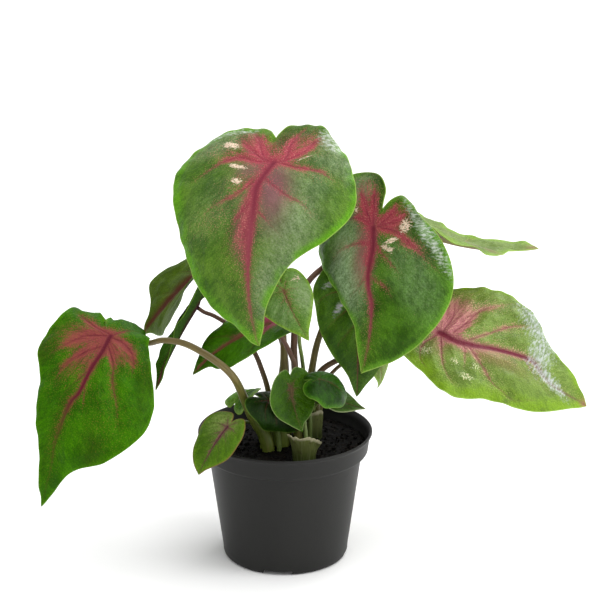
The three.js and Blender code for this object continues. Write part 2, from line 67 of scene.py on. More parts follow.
def paint(code: str) -> tuple[float, float, float, float]:
    """A colour written #rrggbb, as the linear values that a shader works in.

    Args:
        code: the colour as a painter reads it off a chart.

    Returns:
        Red, green, blue and full opacity.
    """
    parts = [int(code[i : i + 2], 16) / 255 for i in (1, 3, 5)]
    linear = [p / 12.92 if p <= 0.04045 else ((p + 0.055) / 1.055) ** 2.4 for p in parts]
    return (linear[0], linear[1], linear[2], 1.0)


class Shade:
    """A value inside a material, on which ordinary arithmetic can be written."""

    def __init__(self, graph: "Graph", socket: bpy.types.NodeSocket) -> None:
        """Wraps one output socket of a graph."""
        self.graph = graph
        self.socket = socket

    def __add__(self, other: "Shade | float") -> "Shade":
        """The sum of two values."""
        return self.graph.sum_up("ADD", self, other)

    def __radd__(self, other: float) -> "Shade":
        """The sum with a plain number in front."""
        return self.graph.sum_up("ADD", other, self)

    def __sub__(self, other: "Shade | float") -> "Shade":
        """The difference of two values."""
        return self.graph.sum_up("SUBTRACT", self, other)

    def __rsub__(self, other: float) -> "Shade":
        """A plain number less this value."""
        return self.graph.sum_up("SUBTRACT", other, self)

    def __mul__(self, other: "Shade | float") -> "Shade":
        """The product of two values."""
        return self.graph.sum_up("MULTIPLY", self, other)

    def __pow__(self, other: float) -> "Shade":
        """This value raised to a power."""
        return self.graph.sum_up("POWER", self, other)

    def rise(self, low: float, high: float) -> "Shade":
        """A soft step.

        Args:
            low: where the step begins.
            high: where it ends; below `low` the step falls instead.

        Returns:
            0 before the step and 1 after it.
        """
        if high < low:
            return 1.0 - self.rise(high, low)
        settings = {"interpolation_type": "SMOOTHSTEP"}
        wired = {"Value": self, "From Min": low, "From Max": high}
        return self.graph.node("ShaderNodeMapRange", settings, wired)["Result"]

    def clamp(self) -> "Shade":
        """This value held between 0 and 1."""
        return self.graph.node("ShaderNodeClamp", {}, {"Value": self})["Result"]


class Graph:
    """A material in the making."""

    def __init__(self, name: str) -> None:
        """Starts an empty material.

        Args:
            name: the material's name.
        """
        self.material = bpy.data.materials.new(name)
        self.material.use_nodes = True
        self.tree = self.material.node_tree
        self.tree.nodes.clear()

    def node(self, kind: str, settings: dict[str, Any], wired: dict[Any, Any]) -> dict[str, Shade]:
        """Adds any node.

        Args:
            kind: the node's type.
            settings: what is set on the node itself, before its sockets.
            wired: a value or a Shade for each input socket, by name or number.

        Returns:
            The node's outputs by name.
        """
        made = self.tree.nodes.new(kind)
        for key, value in settings.items():
            setattr(made, key, value)
        for key, value in wired.items():
            if isinstance(value, Shade):
                self.tree.links.new(value.socket, made.inputs[key])
            else:
                made.inputs[key].default_value = value
        return {o.name: Shade(self, o) for o in made.outputs if o.enabled}

    def sum_up(self, operation: str, a: "Shade | float", b: "Shade | float") -> Shade:
        """One Math node on two values."""
        return self.node("ShaderNodeMath", {"operation": operation}, {0: a, 1: b})["Value"]

    def mix(self, share: "Shade | float", a: Any, b: Any, blend: str = "MIX") -> Shade:
        """Mixes two colours.

        Args:
            share: how much of the second colour there is.
            a: the first colour, a Shade or a #rrggbb code.
            b: the second colour.
            blend: how the second is laid over the first.

        Returns:
            The mixed colour.
        """
        a, b = (paint(c) if isinstance(c, str) else c for c in (a, b))
        settings = {"data_type": "RGBA", "blend_type": blend}
        return self.node("ShaderNodeMix", settings, {0: share, 6: a, 7: b})["Result"]

    def attribute(self, name: str, output: str = "Fac") -> Shade:
        """A value that the piece's mesh carries."""
        return self.node("ShaderNodeAttribute", {"attribute_name": name}, {})[output]

    def split(self, vector: Shade) -> tuple[Shade, Shade]:
        """The first two parts of a vector."""
        parts = self.node("ShaderNodeSeparateXYZ", {}, {"Vector": vector})
        return parts["X"], parts["Y"]

    def join(self, x: "Shade | float", y: "Shade | float", z: "Shade | float") -> Shade:
        """A vector of three values."""
        return self.node("ShaderNodeCombineXYZ", {}, {"X": x, "Y": y, "Z": z})["Vector"]

    def place(self) -> Shade:
        """The place on the object, in metres."""
        return self.node("ShaderNodeTexCoord", {}, {})["Object"]

    def stretch(self, vector: Shade, scale: Point) -> Shade:
        """A place stretched along its axes."""
        wired = {"Vector": vector, "Scale": scale}
        return self.node("ShaderNodeMapping", {}, wired)["Vector"]

    def noise(self, vector: Shade, scale: float, detail: float = 3, rough: float = 0.55) -> Shade:
        """Soft noise around 0.5, with `scale` lumps to a unit and `detail` finer layers."""
        wired = {"Vector": vector, "Scale": scale, "Detail": detail, "Roughness": rough}
        return self.node("ShaderNodeTexNoise", {}, wired)["Fac"]

    def cells(self, vector: Shade, scale: float, feature: str = "F1") -> Shade:
        """Distance to the nearest of scattered points, or to the seams between their cells."""
        wired = {"Vector": vector, "Scale": scale}
        return self.node("ShaderNodeTexVoronoi", {"feature": feature}, wired)["Distance"]

    def bump(self, height: Shade, depth: float, under: "Shade | None" = None) -> Shade:
        """Turns a height into a bent normal.

        Args:
            height: the relief, about 0 to 1.
            depth: what 1 stands for, in metres.
            under: a coarser relief that this one lies on.

        Returns:
            The normal.
        """
        wired: dict[str, Any] = {"Height": height, "Distance": depth, "Strength": 1.0}
        if under is not None:
            wired["Normal"] = under
        return self.node("ShaderNodeBump", {}, wired)["Normal"]

    def finish(
        self,
        colour: Shade,
        normal: Shade | None = None,
        rough: "Shade | float" = 0.5,
        ior: float = 1.5,
        shine: float = 0.5,
    ) -> bpy.types.Material:
        """Closes the material with its surface shader.

        Args:
            colour: its base colour.
            normal: its bent normal, unless it is flat.
            rough: its roughness.
            ior: its index of refraction.
            shine: its specular level.

        Returns:
            The finished material.
        """
        wired: dict[str, Any] = {"Base Color": colour, "Roughness": rough}
        wired |= {"IOR": ior, "Specular IOR Level": shine}
        if normal is not None:
            wired["Normal"] = normal
        outputs = self.node("ShaderNodeBsdfPrincipled", {}, wired)
        self.node("ShaderNodeOutputMaterial", {}, {"Surface": outputs["BSDF"]})
        return self.material


# ---- modelling helpers -------------------------------------------------------------------


def pick(*pieces: bpy.types.Object) -> None:
    """Selects these pieces alone and makes the first the active one.

    Args:
        pieces: the pieces.
    """
    bpy.ops.object.select_all(action="DESELECT")
    for piece in pieces:
        piece.select_set(True)
    bpy.context.view_layer.objects.active = pieces[0]


def clothe(piece: bpy.types.Object, *materials: bpy.types.Material) -> None:
    """Gives a piece these materials in place of any others.

    Args:
        piece: the piece to dress.
        materials: its materials, in the order of its slots.
    """
    piece.data.materials.clear()
    for material in materials:
        piece.data.materials.append(material)


def adopt(name: str) -> bpy.types.Object:
    """Names the primitive just added and puts its place into its mesh.

    Args:
        name: the piece's name.

    Returns:
        The piece.
    """
    piece = bpy.context.active_object
    piece.name = name
    piece.data.name = name
    bpy.ops.object.transform_apply(location=True, rotation=True, scale=True)
    return piece


def grid_sheet(name: str, columns: int, rows: int) -> bpy.types.Object:
    """Adds a flat grid that runs from 0 to 1 both ways.

    Args:
        name: the piece's name.
        columns: its cells along X.
        rows: its cells along Y.

    Returns:
        The sheet, ready to be laid on its surface.
    """
    bpy.ops.mesh.primitive_grid_add(
        x_subdivisions=columns, y_subdivisions=rows, size=1, location=(0.5, 0.5, 0)
    )
    return adopt(name)


def read_rows(rows: Any, key: str, width: int = 1) -> np.ndarray:
    """Reads a value of each of a mesh's elements.

    Args:
        rows: the elements.
        key: the value's name.
        width: how many numbers it holds.

    Returns:
        The numbers, as rows where a value holds several.
    """
    flat = np.zeros(len(rows) * width)
    rows.foreach_get(key, flat)
    return flat.reshape(-1, width) if width > 1 else flat


def places(piece: bpy.types.Object) -> np.ndarray:
    """The vertices of a piece as rows of x, y, z."""
    return read_rows(piece.data.vertices, "co", 3)


def put(piece: bpy.types.Object, points: np.ndarray) -> None:
    """Moves the vertices of a piece to new places."""
    piece.data.vertices.foreach_set("co", points.astype(np.float32).ravel())
    piece.data.update()


def carry(piece: bpy.types.Object, name: str, values: np.ndarray) -> None:
    """Gives a mesh a number, or a vector, at each vertex.

    Args:
        piece: whose mesh it is.
        name: the attribute's name.
        values: one row for each vertex.
    """
    several = values.ndim == 2
    kind = "FLOAT_VECTOR" if several else "FLOAT"
    layer = piece.data.attributes.new(name, kind, "POINT")
    layer.data.foreach_set("vector" if several else "value", values.astype(np.float32).ravel())


def in_edit(piece: bpy.types.Object, *steps: Callable[[], Any]) -> None:
    """Runs edit-mode operators on all of a piece.

    Args:
        piece: the piece to edit.
        steps: the operators, in order.
    """
    pick(piece)
    bpy.ops.object.mode_set(mode="EDIT")
    bpy.ops.mesh.select_all(action="SELECT")
    for step in steps:
        step()
    bpy.ops.object.mode_set(mode="OBJECT")


def weld(reach: float = 2e-6) -> None:
    """Joins vertices that lie on each other."""
    bpy.ops.mesh.remove_doubles(threshold=reach)


def outward() -> None:
    """Turns the faces of a closed body outwards."""
    bpy.ops.mesh.normals_make_consistent(inside=False)


def turn_to(piece: bpy.types.Object, way: Callable[[Any], Vector]) -> None:
    """Turns the faces of a sheet to the side that `way` gives for a face."""
    if sum(face.area * face.normal.dot(way(face)) for face in piece.data.polygons) < 0:
        in_edit(piece, bpy.ops.mesh.flip_normals)


def cap_holes() -> None:
    """Closes every open end of a body."""
    bpy.ops.mesh.select_all(action="DESELECT")
    bpy.ops.mesh.select_non_manifold()
    bpy.ops.mesh.fill_holes(sides=0)
    bpy.ops.mesh.select_all(action="SELECT")


def modify(piece: bpy.types.Object, kind: str, **settings: Any) -> None:
    """Adds a modifier and applies it at once.

    Args:
        piece: the piece to change.
        kind: the modifier's type.
        settings: its settings.
    """
    pick(piece)
    modifier = piece.modifiers.new(kind.title(), kind)
    for key, value in settings.items():
        setattr(modifier, key, value)
    bpy.ops.object.modifier_apply(modifier=modifier.name)


def smooth(piece: bpy.types.Object, angle: float) -> None:
    """Shades a piece smooth, apart from creases sharper than an angle in degrees."""
    pick(piece)
    bpy.ops.object.shade_smooth_by_angle(angle=math.radians(angle))


def settle(piece: bpy.types.Object, slot: str, *nodes: str) -> None:
    """Hands a finished piece over to the frame.

    Args:
        piece: the finished piece.
        slot: the material slot of the record; not used.
        nodes: the solids that it stands for.
    """
    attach(piece, "root")
    if nodes:
        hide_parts(*nodes)
    log.info("%s: %d faces", piece.name, len(piece.data.polygons))


def smooth_read(xs: np.ndarray, ys: np.ndarray, at: np.ndarray) -> np.ndarray:
    """Reads a smooth curve through given points.

    Args:
        xs: where the points are, rising.
        ys: their values.
        at: where to read.

    Returns:
        The curve's values.
    """
    last = len(xs) - 1
    ends = np.arange(last + 1)
    before, after = np.maximum(ends - 1, 0), np.minimum(ends + 1, last)
    slope = (ys[after] - ys[before]) / (xs[after] - xs[before])
    i = np.clip(np.searchsorted(xs, at, side="right") - 1, 0, last - 1)
    span = xs[i + 1] - xs[i]
    s = (at - xs[i]) / span
    a = 2 * s**3 - 3 * s**2 + 1
    b = s**3 - 2 * s**2 + s
    c = -2 * s**3 + 3 * s**2
    d = s**3 - s**2
    return a * ys[i] + b * span * slope[i] + c * ys[i + 1] + d * span * slope[i + 1]


def bent(start: Any, bend: Any, run: np.ndarray) -> tuple[np.ndarray, np.ndarray]:
    """Where a bent strip is.

    Args:
        start: its slope at the start, in radians.
        bend: how much it turns for each mm.
        run: how far along it is, in mm.

    Returns:
        How far out and how far up.
    """
    rate = np.where(np.abs(bend) < 1e-9, 1e-9, bend)
    end = start + rate * run
    return (np.sin(end) - np.sin(start)) / rate, (np.cos(start) - np.cos(end)) / rate


def to_course(points: np.ndarray, course: np.ndarray) -> tuple[np.ndarray, np.ndarray]:
    """How near points are to a line.

    Args:
        points: rows of flat places.
        course: rows of places along the line.

    Returns:
        The distance of each point, and its place along the line from 0 to 1.
    """
    nearest = np.full(len(points), np.inf)
    along = np.zeros(len(points))
    steps = np.linalg.norm(np.diff(course, axis=0), axis=1)
    before = np.concatenate([[0], np.cumsum(steps)])
    for i, step in enumerate(steps):
        line = course[i + 1] - course[i]
        share = np.clip((points - course[i]) @ line / max(step**2, 1e-9), 0, 1)
        away = np.linalg.norm(points - course[i] - share[:, None] * line, axis=1)
        closer = away < nearest
        nearest = np.where(closer, away, nearest)
        along = np.where(closer, (before[i] + share * step) / before[-1], along)
    return nearest, along


def polar(angle: np.ndarray, reach: np.ndarray) -> np.ndarray:
    """Flat places at these angles and distances."""
    return np.stack([reach * np.cos(angle), reach * np.sin(angle)], axis=1)


def far_along(line: np.ndarray) -> np.ndarray:
    """How far along a line each of its places is."""
    return np.concatenate([[0], np.cumsum(np.linalg.norm(np.diff(line, axis=0), axis=1))])


def read_columns(rows: np.ndarray, far: np.ndarray, at: np.ndarray) -> np.ndarray:
    """Reads each column of the rows, which lie so far along a line, at other places on it."""
    return np.stack([np.interp(at, far, column) for column in rows.T], axis=1)


def even_steps(line: np.ndarray, count: int) -> np.ndarray:
    """A line cut into equal steps."""
    far = far_along(line)
    return read_columns(line, far, np.linspace(0, far[-1], count))


def eased(course: np.ndarray, steps: int = 5) -> np.ndarray:
    """A smooth line of many places through a few.

    Args:
        course: rows of the few places.
        steps: how many steps there are from one to the next.

    Returns:
        Rows of the many.
    """
    knots = np.arange(len(course), dtype=float)
    at = np.linspace(0, len(course) - 1, steps * (len(course) - 1) + 1)
    return np.stack([smooth_read(knots, column, at) for column in course.T], axis=1)


def ripples(points: np.ndarray, seed: int, size: float, waves: int = 18) -> np.ndarray:
    """A gentle uneven swell, the same on every run.

    Args:
        points: rows of places in mm.
        seed: which swell it is.
        size: the usual distance from crest to crest, in mm.
        waves: how many waves make it up.

    Returns:
        A value for each point, about -1 to 1.
    """
    rng = np.random.RandomState(seed)
    swell = np.zeros(len(points))
    for _ in range(waves):
        way = rng.normal(size=points.shape[1])
        way /= np.linalg.norm(way)
        length = size * rng.uniform(0.6, 1.7)
        swell += np.sin(points @ way * 2 * math.pi / length + rng.uniform(0, 2 * math.pi))
    return swell / math.sqrt(waves)


# ---- the measures of the leaves ----------------------------------------------------------


class LeafSlot(Enum):
    """The kinds of blade, by the name of their material."""

    GREEN = "leaf_green"
    DARK = "leaf_dark"
    LIME = "leaf_lime"


@dataclass(frozen=True)
class Vein:
    """A main vein on the flat blade, and the red that spreads from it.

    Places are in mm ahead of the joint and to the blade's right; `width` and `stain` are the
    vein's own width and the reach of its red, at its root, in mm; `fade` is how far along the
    red goes, as a share of the vein.
    """

    course: tuple[Spot, ...]
    width: float
    stain: float
    fade: float = 1.0


@dataclass(frozen=True)
class Patch:
    """An oval area on the flat blade.

    `centre` is in mm as for a vein, `size` its half length and half width, and `turn` how far
    its length is turned from the midrib to the right, in degrees.
    """

    centre: Spot
    size: Spot
    turn: float = 0.0
    strength: float = 1.0

    def weight(self, spots: np.ndarray) -> np.ndarray:
        """How strongly each place is marked, fading out round the oval's edge.

        Args:
            spots: rows of flat places in mm.

        Returns:
            A weight for each place.
        """
        turn = math.radians(self.turn)
        away = spots - np.array(self.centre)
        along = (away @ [math.cos(turn), math.sin(turn)]) / self.size[0]
        across = (away @ [-math.sin(turn), math.cos(turn)]) / self.size[1]
        return self.strength * np.exp(-((along**2 + across**2) ** 1.4))


@dataclass(frozen=True)
class Marks:
    """What is drawn on one blade.

    `flush` is red between the veins, `halo` a mauve cast, `shade` painted shade in hollows such
    as the notch, `bloom_and_painted_sheen` a waxy grey cast that partly stands for a painted sheen,
    `gloss_and_painted_sheen` crinkled glossy skin with a painted pale sheen and `fleck` a bare
    cream spot; `rim` is the width in mm of the bright band along the left and the right edge.
    """

    veins: tuple[Vein, ...] = ()
    flush: tuple[Patch, ...] = ()
    halo: tuple[Patch, ...] = ()
    shade: tuple[Patch, ...] = ()
    bloom_and_painted_sheen: tuple[Patch, ...] = ()
    gloss_and_painted_sheen: tuple[Patch, ...] = ()
    fleck: tuple[Patch, ...] = ()
    rim: Spot = (3.0, 3.0)


@dataclass(frozen=True)
class Leaf:
    """The measures of one leaf, in mm and degrees; pairs are left and right."""

    joint: Point
    tip: Point
    roll: float
    arch: float
    fold: Spot
    curl: Spot
    lobe_bend: float
    twist: float
    notch: float
    notch_turn: float
    wave: float
    waves: int
    root: Spot
    girth: tuple[float, float, float, float]
    route: tuple[Point, ...]
    slot: LeafSlot
    left: tuple[float, ...] = ()
    right: tuple[float, ...] = ()
    width: float = 1.0
    marks: Marks = Marks()


KEY_ANGLES = np.array([0.0, 7, 20, 40, 65, 92, 120, 146, 166, 180])
HEART = np.array([1, 0.84, 0.705, 0.6, 0.555, 0.53, 0.505, 0.455, 0.33, 0.14])
HEART_WIDENING = np.array([0, 0.25, 0.6, 1, 1, 1, 1, 1, 1, 1])
GIRTH_PLACES = np.array([0, 0.22, 0.34, 1])
OUTLINE_STEPS = 1200

# The shares of a blade's length over which its lobes bend down and its sides curl.
LOBE_SPAN, SIDE_SPAN = 0.4, 0.5

# A stalk's line ends so far below the blade's middle face, and is straight over its neck, which
# leans a little towards the route; in mm and as a share.
STALK_DEPTH = 1.1
NECK, NECK_LEAN = 4, 0.12

# The stalks stand on the tuber's rounded top, and upright until they are out of the soil.
TUBER_AXIS = (4, -2)
TUBER_MIDDLE, TUBER_DEPTH, TUBER_RADIUS = 42.35, 17, 34
SOIL_TOP = 80
UPRIGHT_TO = SOIL_TOP + 2.0


def mirrored(vein: Vein) -> Vein:
    """The same vein on the other half of the blade."""
    return replace(vein, course=tuple((ahead, -aside) for ahead, aside in vein.course))


def both_sides(*veins: Vein) -> tuple[Vein, ...]:
    """Veins of one half, each followed by its mirror image."""
    return tuple(side for vein in veins for side in (vein, mirrored(vein)))


# The usual veins of a blade, as shares of its length.
HEART_VEINS = (
    Vein(((0, 0), (0.3, 0), (0.65, 0), (0.99, 0)), 0.03, 0.05),
    *both_sides(
        Vein(((0.02, 0.02), (0.02, 0.14), (0.06, 0.28), (0.16, 0.4)), 0.014, 0.05, 0.6),
        Vein(((0.12, 0), (0.2, 0.1), (0.31, 0.23), (0.44, 0.32)), 0.012, 0.03, 0.5),
        Vein(((0.3, 0), (0.4, 0.09), (0.52, 0.19), (0.66, 0.24)), 0.01, 0.02, 0.4),
        Vein(((0, 0.02), (-0.1, 0.08), (-0.22, 0.18), (-0.3, 0.24)), 0.014, 0.05, 0.7),
    ),
)

CROWN_MARKS = Marks(
    veins=(
        Vein(((0, 0), (14, 3), (23, 4), (34, 2), (46, 1), (71, 0), (96, 0), (130, 0)), 5.5, 6),
        Vein(((0, 4), (0, 13), (-2, 25), (2, 35), (7, 40), (14, 46), (20, 50)), 1, 4.5, 1.2),
        Vein(((13, 3), (23, 12), (30, 20), (35, 29), (42, 36)), 0.9, 4.2, 1.1),
        Vein(((30, 2), (39, 9), (49, 15), (60, 19)), 0.8, 2.4, 0.6),
        Vein(((0, -4), (2, -15), (2, -26), (2, -35), (6, -45)), 1.3, 4, 1.15),
        Vein(((14, 1), (21, -11), (26, -20), (30, -31), (37, -39)), 1.2, 4.4, 1.15),
        Vein(((36, 1), (45, -11), (54, -22)), 0.8, 2.2, 0.6),
        Vein(((0, -3), (-5, -7), (-17, -5), (-26, -5), (-38, -8)), 2, 5, 1.2),
        Vein(((-1, -6), (-10, -15), (-24, -21), (-32, -26)), 1.3, 4),
        Vein(((0, 4), (-7, 11), (-21, 20), (-30, 28)), 1.6, 5, 1.1),
        Vein(((0, 6), (-12, 23), (-19, 33)), 1.3, 4, 1.1),
    ),
    flush=(
        Patch((-14, 17), (23, 14), 130, 1.1), Patch((-16, -12), (22, 13), -145),
        Patch((-3, 28), (22, 9), 96, 0.75), Patch((18, 16), (15, 8), 55, 0.5),
        Patch((46, 6), (25, 9), 4), Patch((44, 26), (16, 8), 50, 0.4),
        Patch((4, -26), (16, 6), -85, 0.45),
    ),
    halo=(
        Patch((22, -8), (26, 13), -12, 1.3), Patch((6, 10), (14, 10), 60, 0.9),
        Patch((44, 4), (26, 8), 0, 0.8),
    ),
    shade=(Patch((-20, 1), (13, 6), 180, 1.2), Patch((-30, 18), (12, 4), 150, 0.4)),
    bloom_and_painted_sheen=(
        Patch((46, -26), (44, 18)), Patch((36, 26), (32, 17), 40, 0.3),
        Patch((88, -12), (28, 9), 5), Patch((-12, 48), (24, 12), 60, 0.8),
        Patch((-12, -38), (20, 14), -50, 0.7),
    ),
    gloss_and_painted_sheen=(Patch((-27, -30), (11, 7), -45), Patch((-24, 42), (22, 4), 62, 0.6)),
    fleck=(
        Patch((-12, 36), (7.5, 4), 95), Patch((7, 23), (8.5, 2.2), 97),
        Patch((18.5, 19), (4.5, 2.7), 95), Patch((-6, -20), (7.5, 1.1), -140, 0.8),
    ),
    rim=(5, 7.5),
)

UPPER_MARKS = Marks(
    veins=(
        Vein(((0, 0), (10, 0), (18, 1), (30, 3), (41, 2), (51, -1), (75, -2), (98, 0)), 4.6, 5),
        Vein(((-3, 1), (-6, 10), (-6, 19), (-2, 24)), 1, 4, 0.9),
        Vein(((10, 2), (11, 14), (15, 27), (22, 35)), 1, 3.4, 0.9),
        Vein(((31, 3), (42, 12), (52, 19)), 0.8, 2, 0.5),
        Vein(((-1, -4), (2, -18), (10, -28), (18, -37), (27, -47)), 1.3, 5, 0.95),
        Vein(((12, -2), (22, -13), (30, -21)), 1.1, 4),
        Vein(((33, 0), (40, -12), (48, -17)), 0.8, 3, 0.9),
        Vein(((-3, 0), (-15, 0), (-28, 0)), 2, 4.5, 1.1),
        Vein(((-4, 2), (-15, 7), (-26, 12)), 1.3, 4, 1.1),
        Vein(((-3, -6), (-10, -15), (-17, -17)), 1.6, 5, 1.2),
        Vein(((-2, -5), (-5, -17), (-10, -24)), 1.3, 4.5, 1.1),
    ),
    flush=(
        Patch((-18, 5), (23, 11), 172), Patch((-7, -16), (18, 10), -115),
        Patch((8, -27), (16, 6), -60, 0.6), Patch((14, 3), (14, 8), 0, 0.5),
        Patch((-14, -3), (14, 6), 190, 1.1),
    ),
    halo=(
        Patch((16, 6), (22, 8), 8, 1.1), Patch((14, 24), (14, 9), 60, 0.15),
        Patch((-12, 10), (14, 8), 165, 0.4),
    ),
    bloom_and_painted_sheen=(
        Patch((30, 18), (34, 15), 0), Patch((30, -30), (32, 15), -30, 0.3),
        Patch((-26, 10), (10, 10), 0, 0.8),
    ),
    gloss_and_painted_sheen=(Patch((2, -39), (36, 5), -32, 0.62),),
    fleck=(
        Patch((-2, -25), (6, 4.5), 30), Patch((8, -15), (7, 1.8), -115),
        Patch((13, -12), (6.5, 2.6), -75), Patch((-12, 13), (4, 2), 10, 0.7),
    ),
    rim=(3.5, 4.5),
)

HANGING_MARKS = Marks(
    veins=(
        Vein(
            ((-2, -2), (12, -3), (26, -2), (43, -2), (53, 1), (81, 1), (97, -1), (124, 0)), 3.4,
            4.5, 0.8,
        ),
        Vein(((-3, -2), (-5, 13), (-10, 27)), 1.2, 4.5, 1.1),
        Vein(((-2, -2), (5, 13), (16, 22), (26, 29)), 1.2, 5),
        Vein(((6, -3), (16, 7), (29, 16), (42, 17)), 1.2, 4.5, 0.95),
        Vein(((26, -2), (41, 5), (52, 9)), 0.8, 2.6, 0.5),
        Vein(((-1, -3), (0, -14), (7, -24), (20, -29)), 1.2, 4, 0.95),
        Vein(((5, -4), (17, -14), (30, -20), (41, -28), (56, -35)), 1.2, 4, 0.95),
        Vein(((34, -2), (47, -7), (54, -9)), 0.8, 2.4),
        Vein(((-3, -3), (-12, -8), (-22, -14)), 1.2, 4, 0.8),
    ),
    flush=(
        Patch((6, 12), (22, 14), 68, 1.1), Patch((24, 9), (20, 9), 18, 0.9),
        Patch((5, -13), (17, 10), -68, 1.15), Patch((-9, 19), (11, 7), 100, 0.6),
        Patch((52, -24), (22, 14), -30, 0.2),
    ),
    shade=(
        Patch((22, 34), (22, 8), 20, 0.45), Patch((80, -26), (20, 7), -20, 0.3),
        Patch((66, 4), (30, 4), 0, 0.35), Patch((20, -40), (26, 6), -15, 0.3),
    ),
    halo=(Patch((0, 0), (8, 8), 0, 0.5),), rim=(2.5, 2.5),
)

WIDE_MARKS = Marks(
    veins=(
        Vein(((0, 0), (12, 5), (25, 4), (38, 0), (63, -5), (74, 1), (86, 5), (110, 0)), 6, 7, 0.95),
        Vein(((1, -3), (3, -19), (-1, -37)), 1.3, 5),
        Vein(((8, -3), (13, -15), (18, -30), (26, -39), (37, -47), (46, -43)), 1.3, 4.5, 0.75),
        Vein(((20, 0), (33, -15), (43, -26), (54, -31), (62, -33)), 1.2, 4, 0.95),
        Vein(((1, 2), (7, 20), (13, 33), (20, 41), (25, 44)), 1.3, 3.4, 0.95),
        Vein(((20, 8), (26, 29)), 0.8, 3, 0.9),
        Vein(((22, 7), (34, 18), (45, 28), (54, 31), (65, 33), (77, 25)), 1.3, 3.4, 0.7),
        Vein(((-2, 4), (-7, 17), (-5, 29), (2, 36)), 1.1, 3, 0.9),
        Vein(((60, -3), (72, 8), (84, 14)), 0.8, 2, 0.4),
    ),
    flush=(
        Patch((4, -19), (24, 14), -93, 1.4), Patch((22, -36), (16, 8), -25, 0.6),
        Patch((30, 8), (28, 6), 0, 0.4), Patch((44, -24), (12, 6), -30, 0.35),
    ),
    halo=(
        Patch((28, 8), (32, 8), 4, 0.6), Patch((4, 8), (8, 14), 0, 0.6),
        Patch((110, 0), (5, 4), 0, 1.1),
    ),
    gloss_and_painted_sheen=(
        Patch((58, -36), (26, 11), 50, 0.8), Patch((67, -14), (20, 9), 75, 0.75),
        Patch((78, 2), (20, 5.5), 22, 0.8),
    ),
    fleck=(
        Patch((-3, 22), (6, 5), 0, 0.7), Patch((18, 25), (4, 4), 0, 0.7),
        Patch((29, 34), (6, 5), 0, 0.7), Patch((32, 23), (5, 4), 0, 0.65),
    ),
    rim=(2.5, 11),
)

BACK_MARKS = Marks(
    veins=(
        Vein(((0, 0), (30, 0), (60, 0), (86, 0)), 1.4, 3, 0.7),
        Vein(((2, -2), (8, -18), (24, -34)), 1, 2, 0.6),
        Vein(((2, 2), (8, 20), (24, 36)), 1, 2, 0.6),
        Vein(((26, 0), (40, -14), (58, -24)), 0.8, 2, 0.5),
        Vein(((26, 0), (40, 14), (58, 24)), 0.8, 2, 0.5),
    ),
    flush=(Patch((6, -8), (16, 8), -40, 0.5),),
    halo=(Patch((86, 0), (7, 6), 0, 1.6), Patch((34, 26), (26, 4), 0, 0.8)), rim=(6, 6),
)

MIDDLE_MARKS = Marks(
    flush=(Patch((3, 0), (7, 5), 0, 0.6), Patch((12, -3), (9, 2.2), -10, 0.45)),
    bloom_and_painted_sheen=(Patch((8, -12), (14, 8), 0, 0.9), Patch((16, 8), (12, 8), 0, 0.5)),
    fleck=(Patch((-5, -11), (5, 2.5), -110, 0.7),), rim=(2.5, 1.5),
)

YOUNG_MARKS = Marks(flush=(Patch((2, 1), (7, 3.5), 10, 0.9),), rim=(1.6, 1.6))

RIM_MARKS = Marks(
    flush=(Patch((2, 0), (9, 6), 0, 0.85), Patch((12, 1), (12, 3), 0, 0.5)),
    bloom_and_painted_sheen=(Patch((-4, 4), (14, 12), 0, 0.8),), rim=(2, 2.5),
)


PLAIN_SIDES = (
    Vein(((2, 2), (9, 12), (20, 22)), 1, 2, 0.5),
    Vein(((22, 0), (32, 9), (42, 15)), 0.8, 2, 0.5),
)


def plain_veins(width: float, stain: float) -> tuple[Vein, ...]:
    """A small leaf's veins, with a midrib so wide whose red reaches so far."""
    return (Vein(((0, 0), (32, 0), (64, 0)), width, stain, 1.3), *both_sides(*PLAIN_SIDES))


PLAIN_MARKS = Marks(plain_veins(9, 4), flush=(Patch((0, 0), (9, 8), 0, 1.3),), rim=(1.5, 1.5))
LOW_MARKS = replace(
    PLAIN_MARKS, veins=plain_veins(4.5, 3)[:-1], flush=(Patch((2, 0), (10, 9), 0, 1.5),),
)
BACK_LEFT_MARKS = replace(PLAIN_MARKS, veins=plain_veins(15, 6))

